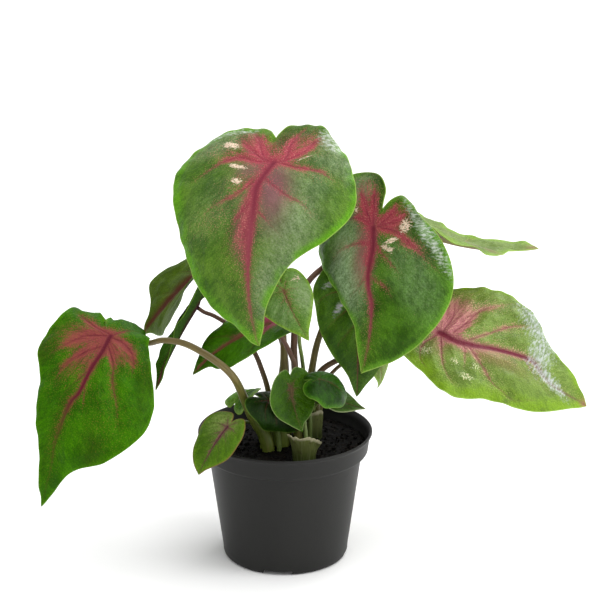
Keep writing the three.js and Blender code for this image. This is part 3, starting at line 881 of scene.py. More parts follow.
LEAVES = {
    "crown": Leaf(
        (-7, -22, 282), (-16, -58, 169), 15, 23, (1, 5), (39, 8), 6, 0, 25, -19, 1.2, 7,
        (-3, -4), (6.6, 5.7, 2.5, 2),
        ((-3, 0, 100), (-1, 7, 125), (-1, 14, 145), (-2, 23, 166), (-3, 24, 190), (-4, 13, 240)),
        LeafSlot.GREEN,
        left=(98, 77, 73, 66, 52, 43, 44, 39), right=(116, 101, 82, 71, 68, 59, 49, 40),
        marks=CROWN_MARKS,
    ),
    "right_upper": Leaf(
        (59, 6, 231), (51, -28, 140), 20, -4, (6, 3), (24, 34), 20, 5, 15, 29, 1, 6,
        (9, 1), (3.4, 2.9, 2.5, 1.7),
        ((8, 4, 100), (7, 10, 125), (6, 16, 145), (8, 22, 165), (15, 30, 185), (27, 38, 195),
         (43, 31, 208), (53, 18, 221)),
        LeafSlot.GREEN,
        left=(94, 89, 81, 71, 53, 38, 33, 29), right=(68, 56, 52, 55, 49, 44, 39, 32),
        marks=UPPER_MARKS,
    ),
    "left_hanging": Leaf(
        (-118, -26, 165), (-159, -70, 63), -24, 16, (0, 4), (43, 14), 99, -6, 13, -32, 1.6, 8,
        (-12, -13), (5.4, 4.4, 3, 1.6),
        ((-14, -11, 90), (-20, -10, 100), (-26, -12, 113), (-35, -31, 140), (-46, -33, 151),
         (-66, -28, 161), (-81, -21, 161), (-91, -12, 156), (-104, -10, 156)),
        LeafSlot.DARK,
        left=(97, 88, 72, 40, 29, 33, 39, 30), right=(91, 70, 52, 46, 41, 36, 39, 32),
        marks=HANGING_MARKS,
    ),
    "right_wide": Leaf(
        (105, -2, 160), (202, -28, 117), 17, 9, (5, 3), (1, 24), 15, -12, 15, -4, 1.4, 7,
        (21, 12), (3, 2.5, 2.2, 1.6),
        ((22, 13, 105), (23, 13, 125), (35, 15, 134), (53, 17, 138), (70, 13, 141), (88, 5, 148)),
        LeafSlot.LIME,
        left=(97, 75, 67, 63, 49, 43, 38, 29), right=(103, 90, 65, 59, 40, 36, 35, 28),
        marks=WIDE_MARKS,
    ),
    "right_back": Leaf(
        (100, 66, 209), (182, 91, 193), 2, -5, (6, 24), (-2, 22), 1, -12, 10, 9, 1, 7,
        (17, 22), (3.2, 2.6, 2.3, 1.6),
        ((18, 24, 110), (21, 29, 138), (29, 36, 157), (48, 46, 180), (80, 57, 198)),
        LeafSlot.LIME,
        left=(84, 53, 36, 45, 44, 40, 33, 24), right=(69, 57, 52, 44, 41, 39, 38, 26),
        marks=BACK_MARKS,
    ),
    "left_back": Leaf(
        (-61, 47, 187), (-102, 62, 138), -12, 2, (4, 8), (2, 0), 8, 36, 9, -10, 0.8, 6,
        (2, 10), (3, 2.4, 2.1, 1.5),
        ((1, 14, 110), (-1, 23, 140), (-12, 35, 160), (-42, 48, 174)),
        LeafSlot.DARK,
        left=(58, 53, 49, 41, 34, 32, 28, 20), right=(53, 50, 54, 37, 35, 32, 28, 21),
        marks=BACK_LEFT_MARKS,
    ),
    "left_folded": Leaf(
        (-60, 17, 172), (-88, -8, 121), 10, 2, (41, 0), (-1, 49), 4, 6, 10, 7, 0.8, 6,
        (-9, 8), (2.4, 2.2, 2, 1.4),
        ((-10, 8, 100), (-12, 8, 116), (-16, 10, 129), (-22, 14, 142), (-36, 20, 156),
         (-49, 20, 165)),
        LeafSlot.DARK,
        left=(52, 43, 37, 34, 34, 32, 26, 19), right=(53, 48, 42, 39, 36, 32, 29, 22),
        marks=PLAIN_MARKS,
    ),
    "left_low": Leaf(
        (-11, -2, 166), (-63, -7, 132), -18, 5, (9, 6), (11, 17), 17, 8, 7, 1, 0.8, 6,
        (8, -7), (2.5, 2.4, 2.2, 1.4),
        ((8, -6, 100), (9, -3, 118), (8, 0, 131), (3, 2, 145), (-3, 2, 156)),
        LeafSlot.DARK,
        left=(51, 47, 41, 27, 22, 22, 22, 17), right=(54, 45, 35, 28, 25, 24, 22, 17),
        marks=LOW_MARKS,
    ),
    "middle": Leaf(
        (-1, -14, 194), (16, -41, 168), 11, -3, (4, 2), (20, 24), 12, -10, 5, 7, 0.4, 5,
        (14.5, 7.5), (2, 1.7, 1.5, 1.2),
        ((14, 8, 110), (12, 7, 135), (10, -4, 152), (9, -19, 167), (4, -18, 180)),
        LeafSlot.GREEN, width=0.92, marks=MIDDLE_MARKS,
    ),
    "right_shaded": Leaf(
        (49, 24, 183), (49, 4, 112), -7, 7, (5, 5), (19, 20), 12, 1, 8, -2, 0.9, 6,
        (13, 13), (3, 3, 2.8, 1.6),
        ((15, 14, 105), (18, 16, 125), (22, 19, 145), (28, 23, 160), (43, 27, 177)),
        LeafSlot.DARK,
        left=(66, 54, 40, 33, 30, 28, 25, 19), right=(60, 50, 40, 32, 30, 27, 24, 19),
        marks=Marks(gloss_and_painted_sheen=(Patch((-4, 17), (7, 2.5), 60, 0.8), Patch((13, 13), (7, 2.5), 30, 0.8))),
    ),
    "front_young": Leaf(
        (4, -18, 126), (12, -29, 99), -3, -2, (6, 12), (5, 7), 2, -13, 9, 7, 0.3, 5,
        (14, -25), (2, 1.8, 1.6, 1.2),
        ((14, -22, 95), (11, -15, 112), (7, -13, 121)),
        LeafSlot.GREEN,
        left=(26, 24, 22, 20, 19, 18, 16, 14), right=(28, 25, 23, 21, 19, 17, 15, 13),
        marks=YOUNG_MARKS,
    ),
    "front_curled": Leaf(
        (23, -22, 134), (41, -18, 118), 28, 4, (1, 1), (39, 25), 40, -10, 5, -7, 0.4, 5,
        (17, -1), (2, 1.8, 1.6, 1.2),
        ((17, 0, 97), (16, 3, 112), (16, 3, 123), (20, -3, 130), (22, -14, 131)),
        LeafSlot.DARK,
        left=(28, 25, 22, 21, 19, 17, 15, 11), right=(27, 27, 24, 22, 18, 17, 14, 10),
    ),
    "rim_right": Leaf(
        (31, -6, 116), (55, -7, 107), 18, -1, (5, 6), (12, 4), 12, -2, 4, -1, 0.4, 5,
        (18.5, 7.5), (1.5, 1.5, 1.5, 1.2),
        ((19, 8, 96), (20, 6, 104), (25, 1, 110)),
        LeafSlot.DARK, width=1.05,
    ),
    "front_left": Leaf(
        (-11, -23, 119), (8, -20, 95), 41, 5, (0, 11), (52, 66), 30, -31, 6, 2, 0.4, 5,
        (-4, -14), (2.2, 2, 1.8, 1.2),
        ((-5, -13, 92), (-8, -14, 103), (-10, -17, 111)),
        LeafSlot.DARK,
        left=(33, 28, 26, 24, 21, 19, 17, 13), right=(30, 27, 24, 22, 18, 17, 16, 13),
    ),
    "rim_left": Leaf(
        (-38, -37, 106), (-57, -53, 78), -8, 2, (5, 8), (13, 7), 19, 2, 4, 2, 0.5, 5,
        (-15, 3), (1.6, 1.4, 1.3, 1.1),
        ((-17, 2, 89), (-23, -2, 95), (-29, -11, 99), (-33, -24, 103)),
        LeafSlot.LIME,
        left=(33, 29, 25, 19, 15, 13, 12, 9), right=(35, 30, 23, 20, 17, 15, 12, 9),
        marks=RIM_MARKS,
    ),
    "back_left": Leaf(
        (-32, 11, 108), (-17, 25, 110), -1, 2, (0, 9), (20, -9), 49, 11, 4, 10, 0.3, 5,
        (-16, 9), (1.8, 1.6, 1.5, 1.1),
        ((-19, 10, 92), (-27, 11, 99)),
        LeafSlot.LIME,
        left=(19, 17, 16, 16, 15, 14, 11, 9), right=(19, 17, 16, 15, 14, 14, 12, 9),
    ),
    "right_young": Leaf(
        (61, 40, 132), (65, 37, 106), -2, 5, (4, 4), (21, 20), 10, 0, 4, 0, 0.4, 5,
        (24, 23), (1.8, 1.7, 1.6, 1.2),
        ((25, 24, 100), (30, 28, 117), (43, 34, 127), (55, 38, 127)),
        LeafSlot.LIME,
    ),
}


# ---- finishes ----------------------------------------------------------------------------


@dataclass(frozen=True)
class BladeFinish:
    """The colours and the skin of a blade.

    `deep` and `mid` are the greens of the middle, `rim` the green along the edge and `edge` its
    last thin line, `edge_width` mm wide; `red` is the flush and `ember` its colour farther out;
    `core` is the veins in it and `vein` their colour from `vein_from` mm off the joint.
    """

    deep: str
    mid: str
    rim: str
    edge: str = "#8fae4a"
    red: str = "#b8425a"
    core: str = "#7a2a3a"
    pink: str = "#d89a86"
    halo: str = "#8f5460"
    bloom_and_painted_sheen: str = "#8fa080"
    painted_highlight: str = "#c8d0c6"
    cream: str = "#e6d6bc"
    under: str = "#5f7a3a"
    under_rib: str = "#8a7a4c"
    ember: str = "#8c3e46"
    vein: str = "#74303a"
    shade: str = "#38340e"
    vein_from: float = 90.0
    flush: float = 1.0
    rib_share: float = 0.45
    rim_share: float = 0.85
    bloom_share: float = 0.8
    roughness: float = 0.42
    edge_width: float = 0.9
    shine: float = 0.18

    def upper(self, name: str) -> bpy.types.Material:
        """The upper skin: marbled green, red flush along the veins, fine dust and a net.

        Args:
            name: the material's name.

        Returns:
            The material.
        """
        g = Graph(name)
        flat = g.attribute("flat", "Vector")
        mark = {n: g.attribute(n) for n in BLADE_VALUES}
        ahead, aside = g.split(flat)
        span = g.sum_up("ABSOLUTE", aside, 0.0)
        reach = (ahead * ahead + aside * aside) ** 0.5
        angle = g.sum_up("ARCTAN2", aside, ahead)
        feather = g.noise(g.join(ahead - span * 0.8, span * 0.75, aside * 0.06), 0.38, 4, 0.7)
        rays = g.noise(g.join(angle * 11, reach * 0.07, 0.0), 1.0, 4, 0.72)
        grain = g.noise(flat, 0.6, 3, 0.65)
        dust = g.noise(flat, 1.15, 2, 0.75)
        crinkle = g.noise(g.stretch(flat, (1.0, 0.4, 1.0)), 0.7, 3, 0.6)
        mesh = g.cells(flat, 0.45, "DISTANCE_TO_EDGE").rise(0.0, 0.25)

        broad = g.noise(flat, 0.045, 2)
        colour = g.mix((broad * 1.1 + feather * 0.4).rise(0.55, 0.95), self.deep, self.mid)
        flow = (feather * 0.4 + grain * 0.6).rise(0.34, 0.66)
        # A waxy grey-green cast, which also stands for a painted sheen: the bright room reflected
        # on the blade.
        cast = mark["bloom_and_painted_sheen"] * (0.35 + flow * 0.75)
        colour = g.mix(cast.clamp() * self.bloom_share, colour, self.bloom_and_painted_sheen)
        band = (mark["rim"] * broad.rise(0.2, 0.55) + (feather - 0.5) * 0.5).rise(0.1, 0.95)
        colour = g.mix(band * self.rim_share, colour, self.rim)
        mottle = g.mix((dust * 0.65 + feather * 0.35).rise(0.36, 0.64), "#000000", "#ffffff")
        colour = g.mix(0.3, colour, mottle, "SOFT_LIGHT")
        colour = g.mix((1 - mesh) * 0.14, colour, self.deep)
        colour = g.mix((mark["halo"] * (0.3 + dust * 0.8)).clamp() * self.flush, colour, self.halo)
        # Painted shade: dark olive over the notch and other hollows where the blade lies in shade.
        colour = g.mix((mark["shade"] * (0.2 + grain * 1.2)).clamp() * 0.8, colour, self.shade)

        heat = (mark["stain"] + mark["flush"] * (0.3 + rays * 1.15)) * self.flush
        spread = heat + (dust - 0.5) * 2.6 + (grain - 0.5) * 1.4
        red = g.mix(reach.rise(12.0, 46.0) * 0.8, self.red, self.ember)
        red = g.mix(rays.rise(0.56, 0.38) * 0.6, red, self.core)
        red = g.mix((dust * 0.6 + rays * 0.4).rise(0.5, 0.66) * 0.5, red, self.pink)
        colour = g.mix(spread.rise(0.3, 1.35) * 0.93, colour, red)
        dusted = (mark["stain"] + mark["flush"]).clamp() ** 0.35
        specks = dust.rise(0.56, 0.68) * dusted * 0.75 * self.flush
        colour = g.mix(specks.clamp(), colour, self.pink)
        vein = (mark["rib"] * (self.rib_share + mark["stain"] * 0.5)).clamp()
        far = reach.rise(self.vein_from * 0.5, self.vein_from)
        colour = g.mix(vein, colour, g.mix(far, self.core, self.vein))
        colour = g.mix(mark["margin"].rise(self.edge_width, 0.1) * 0.8, colour, self.edge)
        # Painted sheen: a pale crinkled highlight laid into the colour where the skin is glossy.
        shine = (mark["gloss_and_painted_sheen"] + (crinkle - 0.5) * 2.0 + (dust - 0.5) * 0.6).rise(0.08, 1.05)
        shine = shine * mark["gloss_and_painted_sheen"].rise(0.0, 0.3)
        painted_glint = g.mix(crinkle.rise(0.4, 0.64), self.bloom_and_painted_sheen, self.painted_highlight)
        colour = g.mix(shine * 0.8, colour, painted_glint)
        torn = g.noise(g.stretch(flat, (1.7, 0.7, 1.0)), 0.7, 3, 0.7)
        bare = (mark["fleck"] * 1.1 + (torn - 0.5) * 3.4).rise(0.68, 0.9)
        bare = bare * mark["fleck"].rise(0.02, 0.2)
        colour = g.mix(bare, colour, g.mix(dust.rise(0.45, 0.7), self.cream, self.pink))

        height = mesh * 0.3 + grain * 0.4 + g.noise(flat, 0.22, 2) * 1.2 + feather * 0.5
        normal = g.bump(height + crinkle * mark["gloss_and_painted_sheen"] * 3, 0.35 * MM)
        rough = self.roughness + (grain - 0.5) * 0.25 - mark["gloss_and_painted_sheen"] * 0.08 + bare * 0.2
        return g.finish(colour, normal, rough, 1.42, self.shine)

    def lower(self, name: str) -> bpy.types.Material:
        """The underside: paler and duller, with the veins standing out.

        Args:
            name: the material's name.

        Returns:
            The material.
        """
        g = Graph(name)
        flat = g.attribute("flat", "Vector")
        rib, stain = g.attribute("rib"), g.attribute("stain")
        grain = g.noise(flat, 0.8, 3, 0.6)
        mesh = g.cells(flat, 0.45, "DISTANCE_TO_EDGE").rise(0.0, 0.2)
        colour = g.mix(grain.rise(0.3, 0.7), self.under, self.mid)
        colour = g.mix((1 - mesh) * 0.2, colour, self.under_rib)
        glow = (stain * 0.5 + g.attribute("flush") * 0.35) * self.flush
        colour = g.mix(glow.clamp(), colour, self.halo)
        colour = g.mix((rib * 0.8).clamp(), colour, self.under_rib)
        normal = g.bump((1 - mesh) * 0.5 + grain * 0.3, 0.3 * MM)
        rough = 0.55 + (grain - 0.5) * 0.15
        return g.finish(colour, normal, rough, 1.4, self.shine * 0.6)


BLADE_PATCHES = ("flush", "halo", "shade", "bloom_and_painted_sheen", "gloss_and_painted_sheen", "fleck")
BLADE_VALUES = ("margin", "rib", "rim", "stain", *BLADE_PATCHES)

FLUSHED = BladeFinish(
    "#33580a", "#557820", "#4e8a0a", red="#ac364e", halo="#7e5058", pink="#c88474",
    vein="#8a3c48", vein_from=55.0, bloom_and_painted_sheen="#84946e",
)
# Darker, duller greens for the leaves that lie under the others: partly their own tone and partly
# painted shade.
SHADED = BladeFinish(
    "#264402", "#3c5e0c", "#40640c", red="#84404a", core="#5a2c26", halo="#5c4434", pink="#80604a",
    flush=0.3, rib_share=0.7, edge="#5f7f2c", under="#3a4c18",
)
BRIGHT = BladeFinish(
    "#667e30", "#788e46", "#729a14", red="#9c5c60", core="#744440", flush=0.25, rim_share=0.7,
)

BLADE_FINISHES = {
    "crown": replace(FLUSHED, rim="#58940c"),
    "right_upper": replace(
        FLUSHED, deep="#2a4e02", mid="#487414", rim="#5c9022", halo="#8a5656", bloom_and_painted_sheen="#98b286",
        shade="#6a4a2c", bloom_share=0.9,
    ),
    "left_hanging": replace(
        FLUSHED, deep="#265200", mid="#366a00", rim="#427800", edge="#588418", shine=0.06,
        red="#8a3a40", core="#5a1c28", pink="#8a5a30", halo="#744028", ember="#74402a",
        vein="#444a12", vein_from=80.0, bloom_share=0.2, rim_share=0.5, rib_share=0.6,
    ),
    "right_wide": replace(
        BRIGHT, deep="#566e22", mid="#6e8838", rim="#709414", red="#b06470", core="#661a2c",
        pink="#d0b088", halo="#8c5a4c", ember="#b07c6c", vein="#5c3038", cream="#bcc498",
        painted_highlight="#bcc2c2", bloom_and_painted_sheen="#98a496", flush=1.05, rim_share=0.9, rib_share=0.75,
    ),
    "right_back": replace(
        BRIGHT, deep="#5a7226", mid="#6a803a", under="#7c5a44", halo="#7a5040", flush=0.7,
    ),
    "left_back": replace(
        SHADED, deep="#384e08", mid="#465e10", rim="#465e10", core="#4a2818", under="#3e5212",
        under_rib="#4a2818", rib_share=0.95, shine=0.05, vein="#4a2818",
    ),
    "left_folded": replace(
        SHADED, deep="#26480a", mid="#34581a", rim="#3c6020", under="#40662a", under_rib="#4a2434",
        halo="#4c1c30", shine=0.0, red="#5c1c34", core="#48182a", flush=1.0,
    ),
    "left_low": replace(
        SHADED, deep="#345e02", mid="#447c04", rim="#467e08", red="#b8306a", core="#7a5038",
        vein="#7a5038", flush=1.2, rib_share=0.9,
    ),
    "middle": replace(
        FLUSHED, deep="#4a7420", mid="#648c36", rim="#84aa24", red="#805040", core="#603a2c",
        bloom_and_painted_sheen="#98a880", flush=0.6, rib_share=0.1, rim_share=0.5, edge_width=0.5,
    ),
    # right_shaded lies in the shadow of the two leaves above it: its darker green is painted shade,
    # its lilac marks a painted sheen.
    "right_shaded": replace(SHADED, deep="#284a04", painted_highlight="#a098a6"),
    "front_young": replace(
        SHADED, deep="#264600", mid="#3a6004", rim="#3e640a", core="#5c5430", edge="#8ca060",
        red="#54342c", pink="#7c6a44", flush=0.9, rib_share=0.12, edge_width=0.5, vein="#4c5c28",
    ),
    # front_curled lies under the crown: its near-black greens are painted shade.
    "front_curled": replace(
        SHADED, deep="#143200", mid="#285402", rim="#3c6c08", flush=0, rib_share=0.0,
    ),
    "rim_right": replace(SHADED, deep="#304e0e", mid="#44681c", rim="#4c7024", edge="#a4b080"),
    # front_left lies under the crown: its near-black greens are painted shade.
    "front_left": replace(SHADED, deep="#0e2400", mid="#183402", rim="#1c3804"),
    "rim_left": replace(
        BRIGHT, deep="#3a5c02", mid="#4a6e08", rim="#5c7e14", red="#74424c", core="#4e2630",
        pink="#8c5c54", halo="#6c4440", bloom_and_painted_sheen="#8ca056", edge="#785c34", flush=0.75,
        bloom_share=0.95,
    ),
    "back_left": replace(
        BRIGHT, deep="#2e580a", mid="#64942a", rim="#98bc60", under="#8caa64", flush=0,
        rib_share=0.1, shine=0.05,
    ),
    "right_young": BRIGHT,
}


@dataclass(frozen=True)
class StalkFinish:
    """A leaf stalk's skin, from its green foot to its top."""

    foot: str
    top: str
    stripe: str
    roughness: float = 0.4

    def material(self, name: str) -> bpy.types.Material:
        """Fleshy stalk with fine stripes along it.

        Args:
            name: the material's name.

        Returns:
            The material.
        """
        g = Graph(name)
        along = g.attribute("along")
        skin = g.attribute("skin", "Vector")
        stripes = g.noise(g.stretch(skin, (1.0, 1.0, 0.02)), 1.3, 3, 0.6)
        blotch = g.noise(g.stretch(skin, (1.0, 1.0, 0.25)), 0.5, 3, 0.6)
        colour = g.mix((along + (blotch - 0.5) * 0.5).rise(0.12, 0.75), self.foot, self.top)
        colour = g.mix(stripes.rise(0.5, 0.72) * 0.55, colour, self.stripe)
        colour = g.mix(blotch.rise(0.62, 0.4) * 0.2, colour, "#2c2414")
        normal = g.bump(stripes, 0.25 * MM)
        rough = self.roughness + (blotch - 0.5) * 0.2
        return g.finish(colour, normal, rough, 1.42, 0.35)


@dataclass(frozen=True)
class SheathFinish:
    """A papery sheath: grey-green, dry and pale at its torn edge."""

    flesh: str = "#5c6432"
    foot: str = "#3c4818"
    edge: str = "#a8a484"

    def material(self, name: str) -> bpy.types.Material:
        """Thin dry skin with veins that run up it.

        Args:
            name: the material's name.

        Returns:
            The material.
        """
        g = Graph(name)
        strip = g.attribute("strip", "Vector")
        along = g.attribute("along")
        lines = g.noise(g.stretch(strip, (1.0, 0.08, 1.0)), 1.1, 3, 0.6)
        blotch = g.noise(strip, 0.22, 3, 0.6)
        colour = g.mix(along.rise(0.1, 0.6), self.foot, self.flesh)
        colour = g.mix(lines.rise(0.45, 0.7) * 0.3, colour, "#8f946c")
        colour = g.mix(blotch.rise(0.5, 0.7) * 0.5, colour, "#3c3420")
        colour = g.mix((along + (blotch - 0.5) * 0.2).rise(0.84, 0.95), colour, self.edge)
        normal = g.bump(lines * 0.4 + blotch * 0.9, 0.5 * MM)
        return g.finish(colour, normal, 0.55, 1.4, 0.3)


@dataclass(frozen=True)
class PlasticFinish:
    """Thin recycled plastic, moulded dull."""

    colour: str = "#131311"
    dust: str = "#20201e"

    def material(self, name: str) -> bpy.types.Material:
        """Dull grey-black with a fine grain and a trace of dust and scuffs.

        Args:
            name: the material's name.

        Returns:
            The material.
        """
        g = Graph(name)
        place = g.place()
        grain = g.noise(place, 900, 3, 0.6)
        flow = g.noise(g.stretch(place, (1.0, 1.0, 0.25)), 18, 3, 0.5)
        scuff = g.noise(g.stretch(place, (1.0, 1.0, 6.0)), 60, 4, 0.7)
        colour = g.mix(flow.rise(0.35, 0.7) * 0.35, self.colour, self.dust)
        colour = g.mix(scuff.rise(0.62, 0.8) * 0.2, colour, self.dust)
        colour = g.mix(0.12, colour, g.mix(grain, "#000000", "#ffffff"), "SOFT_LIGHT")
        normal = g.bump(grain, 0.06 * MM, g.bump(flow, 0.25 * MM))
        rough = 0.5 + (flow - 0.5) * 0.16 + scuff.rise(0.6, 0.8) * 0.1
        return g.finish(colour, normal, rough, 1.48, 0.28)


@dataclass(frozen=True)
class SoilFinish:
    """Moist dark potting soil."""

    dark: str = "#080706"
    brown: str = "#1c1610"

    def material(self, name: str) -> bpy.types.Material:
        """Nearly black crumbs with brown fibres and a few pale grains.

        Args:
            name: the material's name.

        Returns:
            The material.
        """
        g = Graph(name)
        place = g.place()
        clod = g.noise(place, 220, 4, 0.65)
        grit = g.cells(place, 420)
        colour = g.mix(clod.rise(0.45, 0.72), self.dark, self.brown)
        colour = g.mix(grit.rise(0.14, 0.06) * clod.rise(0.52, 0.62), colour, "#5a5650")
        normal = g.bump(clod * 1.2 + grit.rise(0.0, 0.6) * 0.4, 0.9 * MM)
        rough = 0.8 + (clod - 0.5) * 0.4
        return g.finish(colour, normal, rough, 1.4, 0.15)


@dataclass(frozen=True)
class TuberFinish:
    """The corky brown skin of a tuber."""

    skin: str = "#5a4330"

    def material(self, name: str) -> bpy.types.Material:
        """Brown cork with darker rings and flakes.

        Args:
            name: the material's name.

        Returns:
            The material.
        """
        g = Graph(name)
        place = g.place()
        rings = g.noise(g.stretch(place, (0.2, 0.2, 4.0)), 90, 3, 0.6)
        flakes = g.noise(place, 160, 4, 0.6)
        colour = g.mix(rings.rise(0.4, 0.65) * 0.6, self.skin, "#3a2a1d")
        colour = g.mix(flakes.rise(0.55, 0.75) * 0.5, colour, "#7d6448")
        normal = g.bump(rings * 0.7 + flakes * 0.5, 0.8 * MM)
        return g.finish(colour, normal, 0.85, 1.4)


# ---- the leaves --------------------------------------------------------------------------


@dataclass
class LeafShape:
    """The bent surface of one blade and the line of its stalk.

    The blade bends along `along`, `up` and `right`, axes that start at its joint.
    """

    leaf: Leaf
    joint: np.ndarray = field(init=False)
    along: np.ndarray = field(init=False)
    up: np.ndarray = field(init=False)
    right: np.ndarray = field(init=False)
    turn: float = field(init=False)
    length: float = field(init=False)

    def __post_init__(self) -> None:
        """Sets the blade's axes at the straight line from joint to tip."""
        leaf = self.leaf
        self.joint = np.array(leaf.joint, float)
        along = np.array(leaf.tip, float) - self.joint
        chord = float(np.linalg.norm(along))
        self.along = along / chord
        up = np.array([0, 0, 1.0]) - self.along * self.along[2]
        up /= np.linalg.norm(up)
        roll = math.radians(leaf.roll)
        self.up = up * math.cos(roll) + np.cross(self.along, up) * math.sin(roll)
        self.right = np.cross(self.along, self.up)
        self.turn = 4 * math.atan2(2 * leaf.arch, chord)
        self.length = (
            chord if leaf.arch == 0 else chord * self.turn / (2 * math.sin(self.turn / 2))
        )

    def reach(self, right: bool) -> np.ndarray:
        """Half a blade's outline.

        Args:
            right: whether it is the right half.

        Returns:
            The reach in mm at each of the key angles.
        """
        half = self.leaf.right if right else self.leaf.left
        if half:
            return np.array([self.length, *half, self.leaf.notch], float)
        return HEART * self.length * (1 + (self.leaf.width - 1) * HEART_WIDENING)

    def outline(self, count: int) -> np.ndarray:
        """The flat outline, from the notch round by the tip and back to the notch.

        Args:
            count: how many points each half has.

        Returns:
            Rows of angle from the tip and reach, evenly spaced along the edge.
        """
        fine = np.linspace(0, 180, OUTLINE_STEPS)
        halves = []
        for right in (True, False):
            sign = 1 if right else -1
            reach = smooth_read(KEY_ANGLES, self.reach(right), fine)
            share = (180 + sign * self.leaf.notch_turn) / 180
            angle = sign * np.radians(fine * share)
            far = far_along(polar(angle, reach))
            drawn = np.stack([angle, reach], axis=1)
            halves.append(read_columns(drawn, far, np.linspace(0, far[-1], count)))
        return np.concatenate([halves[0][::-1], halves[1][1:]])

    def place(self, ahead: np.ndarray, aside: np.ndarray, share: np.ndarray) -> np.ndarray:
        """Where flat places are on the bent blade.

        Args:
            ahead: mm ahead of the joint.
            aside: mm to the blade's right.
            share: how far out towards the edge, from 0 to 1.

        Returns:
            Rows of x, y, z in mm.
        """
        leaf = self.leaf
        lobe = -math.radians(leaf.lobe_bend) / (LOBE_SPAN * self.length)
        bend = np.where(ahead >= 0, -self.turn / self.length, lobe)
        run, rise = bent(self.turn / 2, bend, ahead)
        slope = self.turn / 2 + bend * ahead
        side = (aside >= 0).astype(int)
        curl = -np.radians(np.array(leaf.curl, float))[side] / (SIDE_SPAN * self.length)
        out, lift = bent(np.radians(np.array(leaf.fold, float))[side], curl, np.abs(aside))
        out = np.where(aside >= 0, out, -out)
        twist = math.radians(leaf.twist) * ahead / self.length
        angle = np.arctan2(aside, ahead)
        ripple = leaf.wave * share**3 * np.sin(leaf.waves * angle)
        across = out * np.cos(twist) - lift * np.sin(twist)
        above = out * np.sin(twist) + lift * np.cos(twist) + ripple
        return (
            self.joint
            + self.along * (run - above * np.sin(slope))[:, None]
            + self.up * (rise + above * np.cos(slope))[:, None]
            + self.right * across[:, None]
        )

    def stalk_line(self, count: int) -> np.ndarray:
        """The stalk's centre line, evenly spaced, from its foot on the tuber to the joint.

        Args:
            count: how many points it has.

        Returns:
            Rows of x, y, z in mm.
        """
        leaf, slope = self.leaf, self.turn / 2
        normal = self.up * math.cos(slope) - self.along * math.sin(slope)
        route = [np.array(p, float) for p in leaf.route]
        end = self.joint - normal * STALK_DEPTH
        near = end - NECK * normal
        near = near + (route[-1] - near) * NECK_LEAN
        x, y = leaf.root
        off = math.hypot(x - TUBER_AXIS[0], y - TUBER_AXIS[1]) - leaf.girth[0]
        foot = TUBER_MIDDLE + TUBER_DEPTH * math.sqrt(1 - max(off / TUBER_RADIUS, 0) ** 2)
        knots = [np.array([x, y, foot]), np.array([x, y, UPRIGHT_TO]), *route, near, end]
        return even_steps(rounded(knots), count)


def rounded(knots: list[np.ndarray], steps: int = 24) -> np.ndarray:
    """A centripetal curve through given points.

    Args:
        knots: the points.
        steps: how many steps there are from one to the next.

    Returns:
        Rows of places close together.
    """
    ends = [2 * knots[0] - knots[1], *knots, 2 * knots[-1] - knots[-2]]
    made = [knots[0]]
    for p0, p1, p2, p3 in zip(ends, ends[1:], ends[2:], ends[3:]):
        d0, d1, d2 = (math.sqrt(np.linalg.norm(b - a)) for a, b in ((p0, p1), (p1, p2), (p2, p3)))
        t1 = ((p1 - p0) / d0 - (p2 - p0) / (d0 + d1) + (p2 - p1) / d1) * d1
        t2 = ((p2 - p1) / d1 - (p3 - p1) / (d1 + d2) + (p3 - p2) / d2) * d1
        for s in np.linspace(0, 1, steps + 1)[1:]:
            made.append(
                p1 + t1 * s + (-3 * p1 + 3 * p2 - 2 * t1 - t2) * s**2
                + (2 * p1 - 2 * p2 + t1 + t2) * s**3
            )
    return np.array(made)


